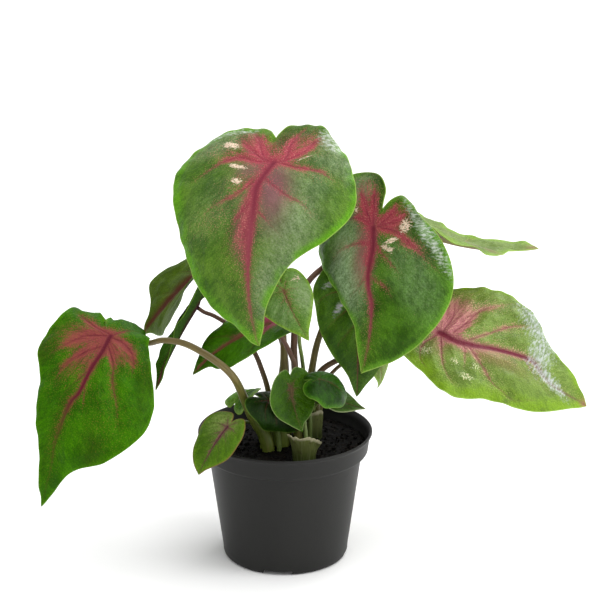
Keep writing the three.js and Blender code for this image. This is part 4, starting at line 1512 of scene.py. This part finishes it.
@dataclass
class Blade:
    """One blade: a thin skin that swells between its sunken veins, with its marks.

    `fineness` is the size of its cells, `swell` how high the skin stands between the veins,
    `furrow` how deep they lie and `ruffle` how much the edge waves; sizes in mm.
    """

    name: str
    leaf: Leaf
    fineness: float
    thickness: float = 0.5
    swell: float = 1.9
    furrow: float = 0.4
    ruffle: float = 0.9

    def build(self) -> None:
        """Lays a grid over the blade, gives it its relief, its skins and its wall."""
        shape = LeafShape(self.leaf)
        half = max(int(shape.length * 1.5 / self.fineness), 40)
        rings = max(int(shape.length * 0.6 / self.fineness), 16)
        piece = grid_sheet(f"blade_{self.name}_fine", 2 * half, rings)
        grid = places(piece)
        edge = shape.outline(half + 1)
        column = grid[:, 0] * (len(edge) - 1)
        order = np.arange(len(edge))
        angle = np.interp(column, order, edge[:, 0])
        share = grid[:, 1]
        reach = np.interp(column, order, edge[:, 1])
        spots = polar(angle, reach * share)
        put(piece, shape.place(spots[:, 0], spots[:, 1], share) * MM)
        for name, values in self.values(shape, spots, edge).items():
            carry(piece, name, values)
        in_edit(piece, weld)
        turn_to(piece, lambda face: Vector(shape.up))
        self.relief(piece, shape)
        self.dress(piece)
        modify(
            piece, "SOLIDIFY", thickness=self.thickness * MM, offset=-1, material_offset=1,
            material_offset_rim=0,
        )
        smooth(piece, 60)
        settle(piece, self.leaf.slot.value, f"blade_{self.name}")

    def values(
        self, shape: LeafShape, spots: np.ndarray, edge: np.ndarray
    ) -> dict[str, np.ndarray]:
        """Works out what is drawn at each place of the blade.

        Args:
            shape: the blade's surface.
            spots: rows of mm ahead of the joint and to the right.
            edge: the outline as rows of angle and reach.

        Returns:
            The values that the mesh carries, by name.
        """
        marks = self.leaf.marks
        margin, _ = to_course(spots, polar(edge[:, 0], edge[:, 1])[::2])
        found = self.veined(shape, spots)
        for name in BLADE_PATCHES:
            weights = [patch.weight(spots) for patch in getattr(marks, name)]
            found[name] = np.max([np.zeros(len(spots)), *weights], axis=0)
        found["flush"] = found["flush"] * np.clip(margin / 6, 0.35, 1)
        side = np.clip(0.5 + spots[:, 1] / (0.3 * shape.length), 0, 1)
        width = marks.rim[0] + (marks.rim[1] - marks.rim[0]) * side
        notch = np.exp(-(((np.abs(np.arctan2(spots[:, 1], spots[:, 0])) - math.pi) / 0.45) ** 2))
        found["rim"] = np.exp(-((margin / width) ** 2)) * (1 - notch)
        found["margin"] = margin
        found["flat"] = np.column_stack([spots, np.zeros(len(spots))])
        return found

    def veined(self, shape: LeafShape, spots: np.ndarray) -> dict[str, np.ndarray]:
        """Follows the veins over the blade, the midrib first and then the thinner ones.

        Args:
            shape: the blade's surface.
            spots: rows of mm ahead of the joint and to the right.

        Returns:
            How much each place is a vein, how much a vein's red covers it, and the way in mm to
            the nearest vein.
        """
        veins = self.leaf.marks.veins
        scale = 1.0 if veins else shape.length
        wander = ripples(spots, 5, 9) * 0.6
        rib, stain = np.zeros(len(spots)), np.zeros(len(spots))
        near = np.full(len(spots), 99.0)
        for index, vein in enumerate(veins or HEART_VEINS):
            taper, depth, red, lag = (0.45, 0.55, 0.85, 1.2) if index else (0.8, 1, 1.2, 0)
            away, far = to_course(spots, eased(np.array(vein.course, float) * scale))
            width = max(vein.width * scale, 0.7) * (1 - taper * far)
            line = np.exp(-((away / (0.55 * width)) ** 2)) * (1 - 0.5 * far**3)
            rib = np.maximum(rib, line * depth)
            spread = vein.stain * scale * (1 - 0.65 * far)
            faded = np.clip(1.8 * (1.1 - far / vein.fade), 0, 1) * red
            stain = np.maximum(stain, faded * np.exp(-((np.abs(away + wander) / spread) ** 1.5)))
            near = np.minimum(near, away + lag)
        reach = np.hypot(spots[:, 0], spots[:, 1])
        stain = np.maximum(stain, np.exp(-((reach / (0.04 * shape.length + 2)) ** 2)))
        return {"rib": rib, "stain": stain, "near": near}

    def relief(self, piece: bpy.types.Object, shape: LeafShape) -> None:
        """Sinks the veins, lets the skin swell between them and waves its edge.

        Args:
            piece: the welded sheet.
            shape: the blade's surface.
        """
        layers = piece.data.attributes
        rib, near, margin = (read_rows(layers[n].data, "value") for n in ("rib", "near", "margin"))
        normals = read_rows(piece.data.vertex_normals, "vector", 3)
        points = places(piece) / MM
        size = min(max(shape.length / 100, 0.3), 1.15)
        swell = 1 - np.exp(-((near / (7 * size)) ** 2))
        hold = np.clip(margin / (8 * size), 0, 1)
        bumps = ripples(points, 11, 16) * 0.6 + ripples(points, 12, 7) * 0.2
        height = (swell * self.swell + bumps * swell) * hold - rib * self.furrow
        height = (height + ripples(points, 13, 17) * self.ruffle * (1 - hold)) * size
        put(piece, (points + normals * height[:, None]) * MM)

    def dress(self, piece: bpy.types.Object) -> None:
        """Gives the blade its two skins."""
        skin = BLADE_FINISHES[self.name]
        clothe(piece, skin.upper(f"{self.name}_upper_skin"), skin.lower(f"{self.name}_under_skin"))


@dataclass
class Stalk:
    """One leaf stalk: a fleshy rod that swells at its foot and joins the blade at its top.

    It is drawn in steps of `step` mm and changes colour over `green` mm above the soil.
    """

    name: str
    leaf: Leaf
    sides: int = 18
    step: float = 2.5
    green: float = 90

    def build(self) -> bpy.types.Object:
        """Wraps a grid round the stalk's centre line and closes its ends.

        Returns:
            The stalk, without its skin.
        """
        shape = LeafShape(self.leaf)
        rough = shape.stalk_line(200)
        total = float(np.linalg.norm(np.diff(rough, axis=0), axis=1).sum())
        steps = int(total / self.step)
        line = shape.stalk_line(steps + 1)
        piece = grid_sheet(f"stalk_{self.name}_fine", self.sides, steps)
        grid = places(piece)
        level = np.rint(grid[:, 1] * steps).astype(int)
        around = grid[:, 0] * 2 * math.pi
        tangent = np.gradient(line, axis=0)
        tangent /= np.linalg.norm(tangent, axis=1)[:, None]
        side = self.carried_side(tangent)
        over = np.cross(tangent, side)
        share = grid[:, 1]
        radius = smooth_read(GIRTH_PLACES, np.array(self.leaf.girth, float), share)
        radius = radius * (1 + 0.03 * np.cos(3 * around + 4 * share))
        points = (
            line[level]
            + side[level] * (radius * np.cos(around))[:, None]
            + over[level] * (radius * np.sin(around))[:, None]
        )
        put(piece, points * MM)
        carry(piece, "skin", np.column_stack([polar(around, radius), share * total]))
        carry(piece, "along", np.clip((points[:, 2] - SOIL_TOP) / self.green, 0, 1))
        in_edit(piece, weld, cap_holes, outward)
        smooth(piece, 50)
        return piece

    def carried_side(self, tangent: np.ndarray) -> np.ndarray:
        """Carries a sideways direction along the line without twisting it.

        Args:
            tangent: rows of the line's direction.

        Returns:
            Rows of a direction square to it.
        """
        side = np.cross(tangent[0], [0, 1, 0])
        side = side / np.linalg.norm(side)
        carried = []
        for way in tangent:
            side = side - way * (side @ way)
            side = side / np.linalg.norm(side)
            carried.append(side)
        return np.array(carried)

    def dress(self, piece: bpy.types.Object, material: bpy.types.Material, slot: str) -> None:
        """Gives the stalk its skin."""
        clothe(piece, material)
        settle(piece, slot, f"stalk_{self.name}")


class StalkTone(Enum):
    """The kinds of stalk, by the name of their material."""

    OLIVE = "stalk_olive"
    BROWN = "stalk_brown"
    GREEN = "stalk_green"


STALK_FINISHES = {
    StalkTone.OLIVE: StalkFinish("#647426", "#6c5e36", "#8a8250"),
    StalkTone.BROWN: StalkFinish("#66662e", "#66483a", "#7c6c48"),
    StalkTone.GREEN: StalkFinish("#6c8040", "#667c38", "#96a662"),
}

STALK_TONES = {
    "crown": StalkTone.OLIVE, "right_upper": StalkTone.BROWN, "left_hanging": StalkTone.OLIVE,
    "right_wide": StalkTone.BROWN, "right_back": StalkTone.OLIVE, "left_back": StalkTone.BROWN,
    "left_folded": StalkTone.BROWN, "left_low": StalkTone.BROWN, "right_shaded": StalkTone.OLIVE,
    "right_young": StalkTone.BROWN,
}


@dataclass
class Foliage:
    """All the leaves, each a blade on its stalk; the cells' size in mm."""

    leaves: dict[str, Leaf] = field(default_factory=lambda: dict(LEAVES))
    fineness: float = 1.1
    quick_fineness: float = 1.8

    def build(self) -> None:
        """Builds every leaf."""
        skins = {tone: STALK_FINISHES[tone].material(f"{tone.value}_skin") for tone in StalkTone}
        for name, leaf in self.leaves.items():
            tone = STALK_TONES.get(name, StalkTone.GREEN)
            stalk = Stalk(name, leaf)
            stalk.dress(stalk.build(), skins[tone], tone.value)
            Blade(name, leaf, self.fineness).build()


# ---- the sheaths -------------------------------------------------------------------------


@dataclass
class Sheath:
    """A papery strip that stands round the feet of some stalks; sizes in mm and degrees."""

    name: str
    centre: Spot
    radius: float
    flare: float
    arc: Spot
    heights: tuple[float, ...]
    bottom: float = 78
    thickness: float = 0.45
    columns: int = 60
    rows: int = 30

    def build(self) -> bpy.types.Object:
        """Rolls a grid round the stalks, tears its upper edge and gives it a wall.

        Returns:
            The sheath, without its skin.
        """
        piece = grid_sheet(f"{self.name}_fine", self.columns, self.rows)
        grid = places(piece)
        share, level = grid[:, 0], grid[:, 1]
        angle = np.radians(self.arc[0] + (self.arc[1] - self.arc[0]) * share)
        steps = np.linspace(0, 1, len(self.heights))
        height = smooth_read(steps, np.array(self.heights, float), share)
        torn = ripples(share[:, None] * 60, 3, 9) * 0.5 + ripples(share[:, None] * 60, 4, 4) * 0.25
        height = height + torn
        radius = self.radius + self.flare * level**2
        radius = radius + ripples(np.stack([share * 26, level * 8], 1), 8, 8) * 0.3 * level
        z = self.bottom + height * level + (SOIL_TOP - self.bottom) * np.minimum(level * 3, 1)
        put(piece, np.column_stack([self.centre + polar(angle, radius), z]) * MM)
        carry(piece, "along", level)
        carry(piece, "strip", np.stack([share * 30, level * height, level * 0], axis=1))
        middle = Vector((*self.centre, 0)) * MM
        turn_to(piece, lambda face: face.center - middle)
        modify(piece, "SOLIDIFY", thickness=self.thickness * MM, offset=-1)
        smooth(piece, 60)
        return piece

    def dress(self, piece: bpy.types.Object, material: bpy.types.Material) -> None:
        """Gives the sheath its dry skin."""
        clothe(piece, material)
        settle(piece, "sheath", self.name)


SHEATHS = (
    Sheath("sheath_front", (13, -28), 7.4, 4, (185, 385), (17, 19, 18, 19, 16, 12, 8)),
    Sheath("sheath_right", (17, 12), 8.6, 0.6, (-125, 8), (13, 19, 21, 20, 14)),
)


# ---- the pot and what it holds -----------------------------------------------------------


@dataclass
class NurseryPot:
    """A thin plastic nursery pot with a collar, foot notches and drain holes; sizes in mm."""

    height: float = 90
    rim: float = 60
    collar: float = 57.6
    collar_foot: float = 75
    wall_top: float = 52.8
    wall_foot: float = 43.6
    wall: float = 1.2
    floor: float = 3
    notches: int = 4
    notch: Point = (20, 12, 5.2)
    notch_turn: float = -7
    drains: int = 8
    drain_ring: float = 29
    drain: float = 3.5
    drain_depth: float = 8
    sides: int = 160

    def inner(self, height: float) -> float:
        """The inner radius at a height, up to the collar's foot."""
        share = (height - 6) / (self.collar_foot - 8)
        return self.wall_foot + (self.wall_top - self.wall_foot) * share - self.wall

    def profile(self) -> list[Spot]:
        """The outline of the wall, outside and back down inside.

        Returns:
            Radius and height in mm, from axis to axis.
        """
        ring, top, well = self.wall_foot - 4, self.floor + 1.5, self.inner(8)
        return [
            (0, 0), (13, 0), (14, self.floor), (ring - 1, self.floor), (ring, 0),
            *around(self.wall_foot, 0, (-2, 0), (-1.2, 0.25), (-0.7, 0.9), (-0.2, 2.6), (0, 6)),
            *around(self.wall_top, self.collar_foot, (-0.1, -2.4), (0.1, -1.6), (0.8, -0.8)),
            *around(
                self.collar, self.collar_foot,
                (-1.9, -0.1), (-1.1, 0.3), (-0.6, 1.1), (-0.4, 2.2),
            ),
            *around(self.collar, self.height, (0.7, -4.6), (1.0, -3.2)),
            *around(
                self.rim, self.height,
                (-0.7, -2.2), (-0.15, -1.7), (0, -1.2), (-0.05, -0.6), (-0.3, -0.2), (-0.7, 0),
                (-1.2, -0.05), (-1.6, -0.35),
            ),
            *around(self.collar, self.height, (-0.4, -3), (-0.7, -5)),
            *around(self.collar, self.collar_foot, (-1.6, 2.4), (-2.6, 1.2)),
            (self.inner(self.collar_foot), self.collar_foot + 0.6), (well, 8), (well - 2, top),
            (0, top),
        ]

    def build(self) -> bpy.types.Object:
        """Spins the wall's outline, then cuts the notches and the drain holes.

        Returns:
            The pot, without its plastic.
        """
        piece = turned("pot_fine", self.profile(), self.sides)
        for i in range(self.notches):
            turn = math.radians(self.notch_turn + 360 / self.notches * i)
            x, y = self.wall_foot * math.sin(turn), -self.wall_foot * math.cos(turn)
            bpy.ops.mesh.primitive_cube_add(
                size=1, location=(x * MM, y * MM, 0), rotation=(0, 0, turn),
                scale=tuple(side * MM for side in self.notch),
            )
            self.cut(piece, adopt("notch_cutter"))
        for i in range(self.drains):
            turn = math.radians(360 / self.drains * (i + 0.5))
            x, y = self.drain_ring * math.cos(turn), self.drain_ring * math.sin(turn)
            bpy.ops.mesh.primitive_cylinder_add(
                vertices=24, radius=self.drain * MM, depth=self.drain_depth * MM,
                location=(x * MM, y * MM, self.drain_depth / 2 * MM),
            )
            self.cut(piece, adopt("drain_cutter"))
        smooth(piece, 35)
        return piece

    def cut(self, piece: bpy.types.Object, tool: bpy.types.Object) -> None:
        """Cuts a tool's shape out of the pot and throws the tool away."""
        modify(piece, "BOOLEAN", operation="DIFFERENCE", object=tool, solver="EXACT")
        bpy.data.objects.remove(tool)

    def dress(self, piece: bpy.types.Object) -> None:
        """Gives the pot its plastic."""
        clothe(piece, PlasticFinish().material("nursery_plastic"))
        settle(piece, "pot", "pot")


def around(radius: float, height: float, *offsets: Spot) -> list[Spot]:
    """Places near a corner of an outline, by how far they are off it."""
    return [(radius + out, height + up) for out, up in offsets]


def turned(name: str, profile: list[Spot], sides: int) -> bpy.types.Object:
    """Turns an outline round the Z axis.

    Args:
        name: the piece's name.
        profile: radius and height in mm, from axis to axis.
        sides: how many steps the turn has.

    Returns:
        A closed body.
    """
    piece = grid_sheet(name, sides, len(profile) - 1)
    grid = places(piece)
    row = np.rint(grid[:, 1] * (len(profile) - 1)).astype(int)
    shape = np.array(profile, float)
    turn = grid[:, 0] * 2 * math.pi
    radius = shape[row, 0]
    put(piece, np.column_stack([polar(turn, radius), shape[row, 1]]) * MM)
    in_edit(piece, weld, outward)
    return piece


@dataclass
class Soil:
    """The soil in the pot: a crumbly top with loose crumbs on it; sizes in mm."""

    pot: NurseryPot
    top: float = SOIL_TOP
    gap: float = 0.35
    crumbs: int = 420
    crumb: Spot = (0.5, 1.5)
    spread: float = 52
    sides: int = 180
    rings: int = 56

    def build(self) -> bpy.types.Object:
        """Turns the filling and roughens its top.

        Returns:
            The soil, without its crumbs and its colour.
        """
        pot, gap = self.pot, self.gap
        side = pot.inner(pot.collar_foot) - gap
        floor = pot.floor + 1.5 + gap
        profile = [
            (0, floor), (pot.inner(8) - 2.6, floor), (pot.inner(8) - gap - 0.1, 8),
            (side, pot.collar_foot + 1.4), (side + 2.8, pot.collar_foot + 3.4),
            (side + 3.1, self.top - 1),
            *((float(radius), self.top + 0.3) for radius in np.linspace(side + 2, 0, self.rings)),
        ]
        piece = turned("soil_fine", profile, self.sides)
        points = places(piece) / MM
        high = points[:, 2] > self.top
        flat = points[:, :2]
        rough = ripples(flat, 21, 26) * 0.5 + ripples(flat, 22, 9) * 0.35
        rough = rough + ripples(flat, 23, 4, 30) * 0.3 + ripples(flat, 24, 2.2, 40) * 0.22
        points[:, 2] += np.where(high, rough - 0.6, 0)
        put(piece, points * MM)
        smooth(piece, 60)
        return piece

    def scatter(self) -> bpy.types.Object:
        """Scatters crumbs of soil over the top.

        Returns:
            The crumbs, as one piece.
        """
        rng = np.random.RandomState(9)
        made = []
        for _ in range(self.crumbs):
            size = rng.uniform(*self.crumb) * MM
            far = self.spread * math.sqrt(rng.uniform(0, 1)) * MM
            turn = rng.uniform(0, 2 * math.pi)
            bpy.ops.mesh.primitive_ico_sphere_add(
                subdivisions=1, radius=size,
                location=(far * math.cos(turn), far * math.sin(turn), self.top * MM + size * 0.2),
                rotation=tuple(rng.uniform(0, 3, 3)),
                scale=tuple(rng.uniform(0.55, 1.2, 3)),
            )
            crumb = adopt("crumb")
            points = places(crumb)
            middle = points.mean(axis=0)
            put(crumb, middle + (points - middle) * rng.uniform(0.75, 1.2, (len(points), 1)))
            made.append(crumb)
        pick(*made)
        bpy.ops.object.join()
        made[0].name = "soil_crumbs"
        return made[0]

    def dress(self, piece: bpy.types.Object, crumbs: bpy.types.Object) -> None:
        """Gives the soil and its crumbs their colour.

        Args:
            piece: the soil, which stands for the solid.
            crumbs: the crumbs on it, which have none.
        """
        material = SoilFinish().material("potting_soil")
        clothe(piece, material)
        settle(piece, "soil", "soil")
        clothe(crumbs, material)
        settle(crumbs, "soil")


# ---- the studio --------------------------------------------------------------------------


@dataclass
class Studio:
    """A pale floor, soft lights and the camera; sizes in metres."""

    eye: Point = (0.0102, -1.1457, 0.5394)
    aim: Point = (0.0102, 0, 0.1826)
    lens: float = 107.04
    lamp_aim: Point = (0.01, 0, 0.15)
    sky_way: Point = (-0.35, 0.15, -1)
    floor: float = 40
    floor_drop: float = 0.0005

    def build(self) -> None:
        """Sets the floor, the world, the lights and the camera."""
        self.lay_floor()
        self.light_world()
        self.add_light("rim", (0.55, 0.75, 0.95), 0.7, 6)
        self.add_light("side", (1.1, -0.25, 0.45), 0.6, 5)
        self.add_sky()
        self.place_camera()
        view = bpy.context.scene.view_settings
        view.view_transform, view.look = "Standard", "None"

    def lay_floor(self) -> None:
        """A pale floor that fills the view."""
        bpy.ops.mesh.primitive_plane_add(size=self.floor, location=(0, 0, -self.floor_drop))
        floor = adopt("studio_floor")
        g = Graph("studio_paper")
        colour = g.mix(g.noise(g.place(), 3, 2) * 0.05, "#fdfdfd", "#f6f6f6")
        clothe(floor, g.finish(colour, rough=0.9))

    def light_world(self) -> None:
        """Even white light from all round."""
        world = bpy.data.worlds.new("studio")
        world.use_nodes = True
        background = world.node_tree.nodes["Background"]
        background.inputs["Color"].default_value = (1, 1, 1, 1)
        background.inputs["Strength"].default_value = 0.8
        bpy.context.scene.world = world

    def add_sky(self) -> None:
        """Adds the main light, a broad one from above and slightly right."""
        lamp = bpy.data.lights.new("sky", "SUN")
        lamp.energy, lamp.angle = 1.6, math.radians(55)
        self.stand(lamp, (0, 0, 0), self.sky_way)

    def add_light(self, name: str, place: Point, size: float, power: float) -> None:
        """Adds a soft square light aimed at the plant.

        Args:
            name: the light's name.
            place: where it stands.
            size: its side.
            power: its power in watts.
        """
        lamp = bpy.data.lights.new(name, "AREA")
        lamp.size, lamp.energy = size, power
        self.stand(lamp, place, self.lamp_aim)

    def place_camera(self) -> None:
        """Puts the camera where it sees the whole plant from slightly above."""
        data = bpy.data.cameras.new("camera")
        data.sensor_width, data.lens = 36, self.lens
        data.clip_start, data.clip_end = 0.05, 30
        bpy.context.scene.camera = self.stand(data, self.eye, self.aim)

    def stand(self, data: bpy.types.ID, place: Point, aim: Point) -> bpy.types.Object:
        """Stands a lamp or a camera in the scene.

        Args:
            data: the lamp or the camera.
            place: where it stands.
            aim: what it looks at.

        Returns:
            The object that holds it.
        """
        made = bpy.data.objects.new(data.name, data)
        made.location = place
        way = Vector(aim) - Vector(place)
        made.rotation_euler = way.to_track_quat("-Z", "Y").to_euler()
        bpy.context.scene.collection.objects.link(made)
        return made


def main() -> None:
    """Builds the plant, piece by piece, and writes how large it came out."""
    logging.basicConfig(level=logging.INFO, format="%(name)s: %(message)s")
    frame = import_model()
    Studio().build()
    pot = NurseryPot()
    pot.dress(pot.build())
    soil = Soil(pot)
    soil.dress(soil.build(), soil.scatter())
    clothe(frame["nodes"]["tuber"], TuberFinish().material("tuber_cork"))
    paper = SheathFinish().material("sheath_paper")
    for sheath in SHEATHS:
        sheath.dress(sheath.build(), paper)
    Foliage().build()


if __name__ == "__main__":
    main()
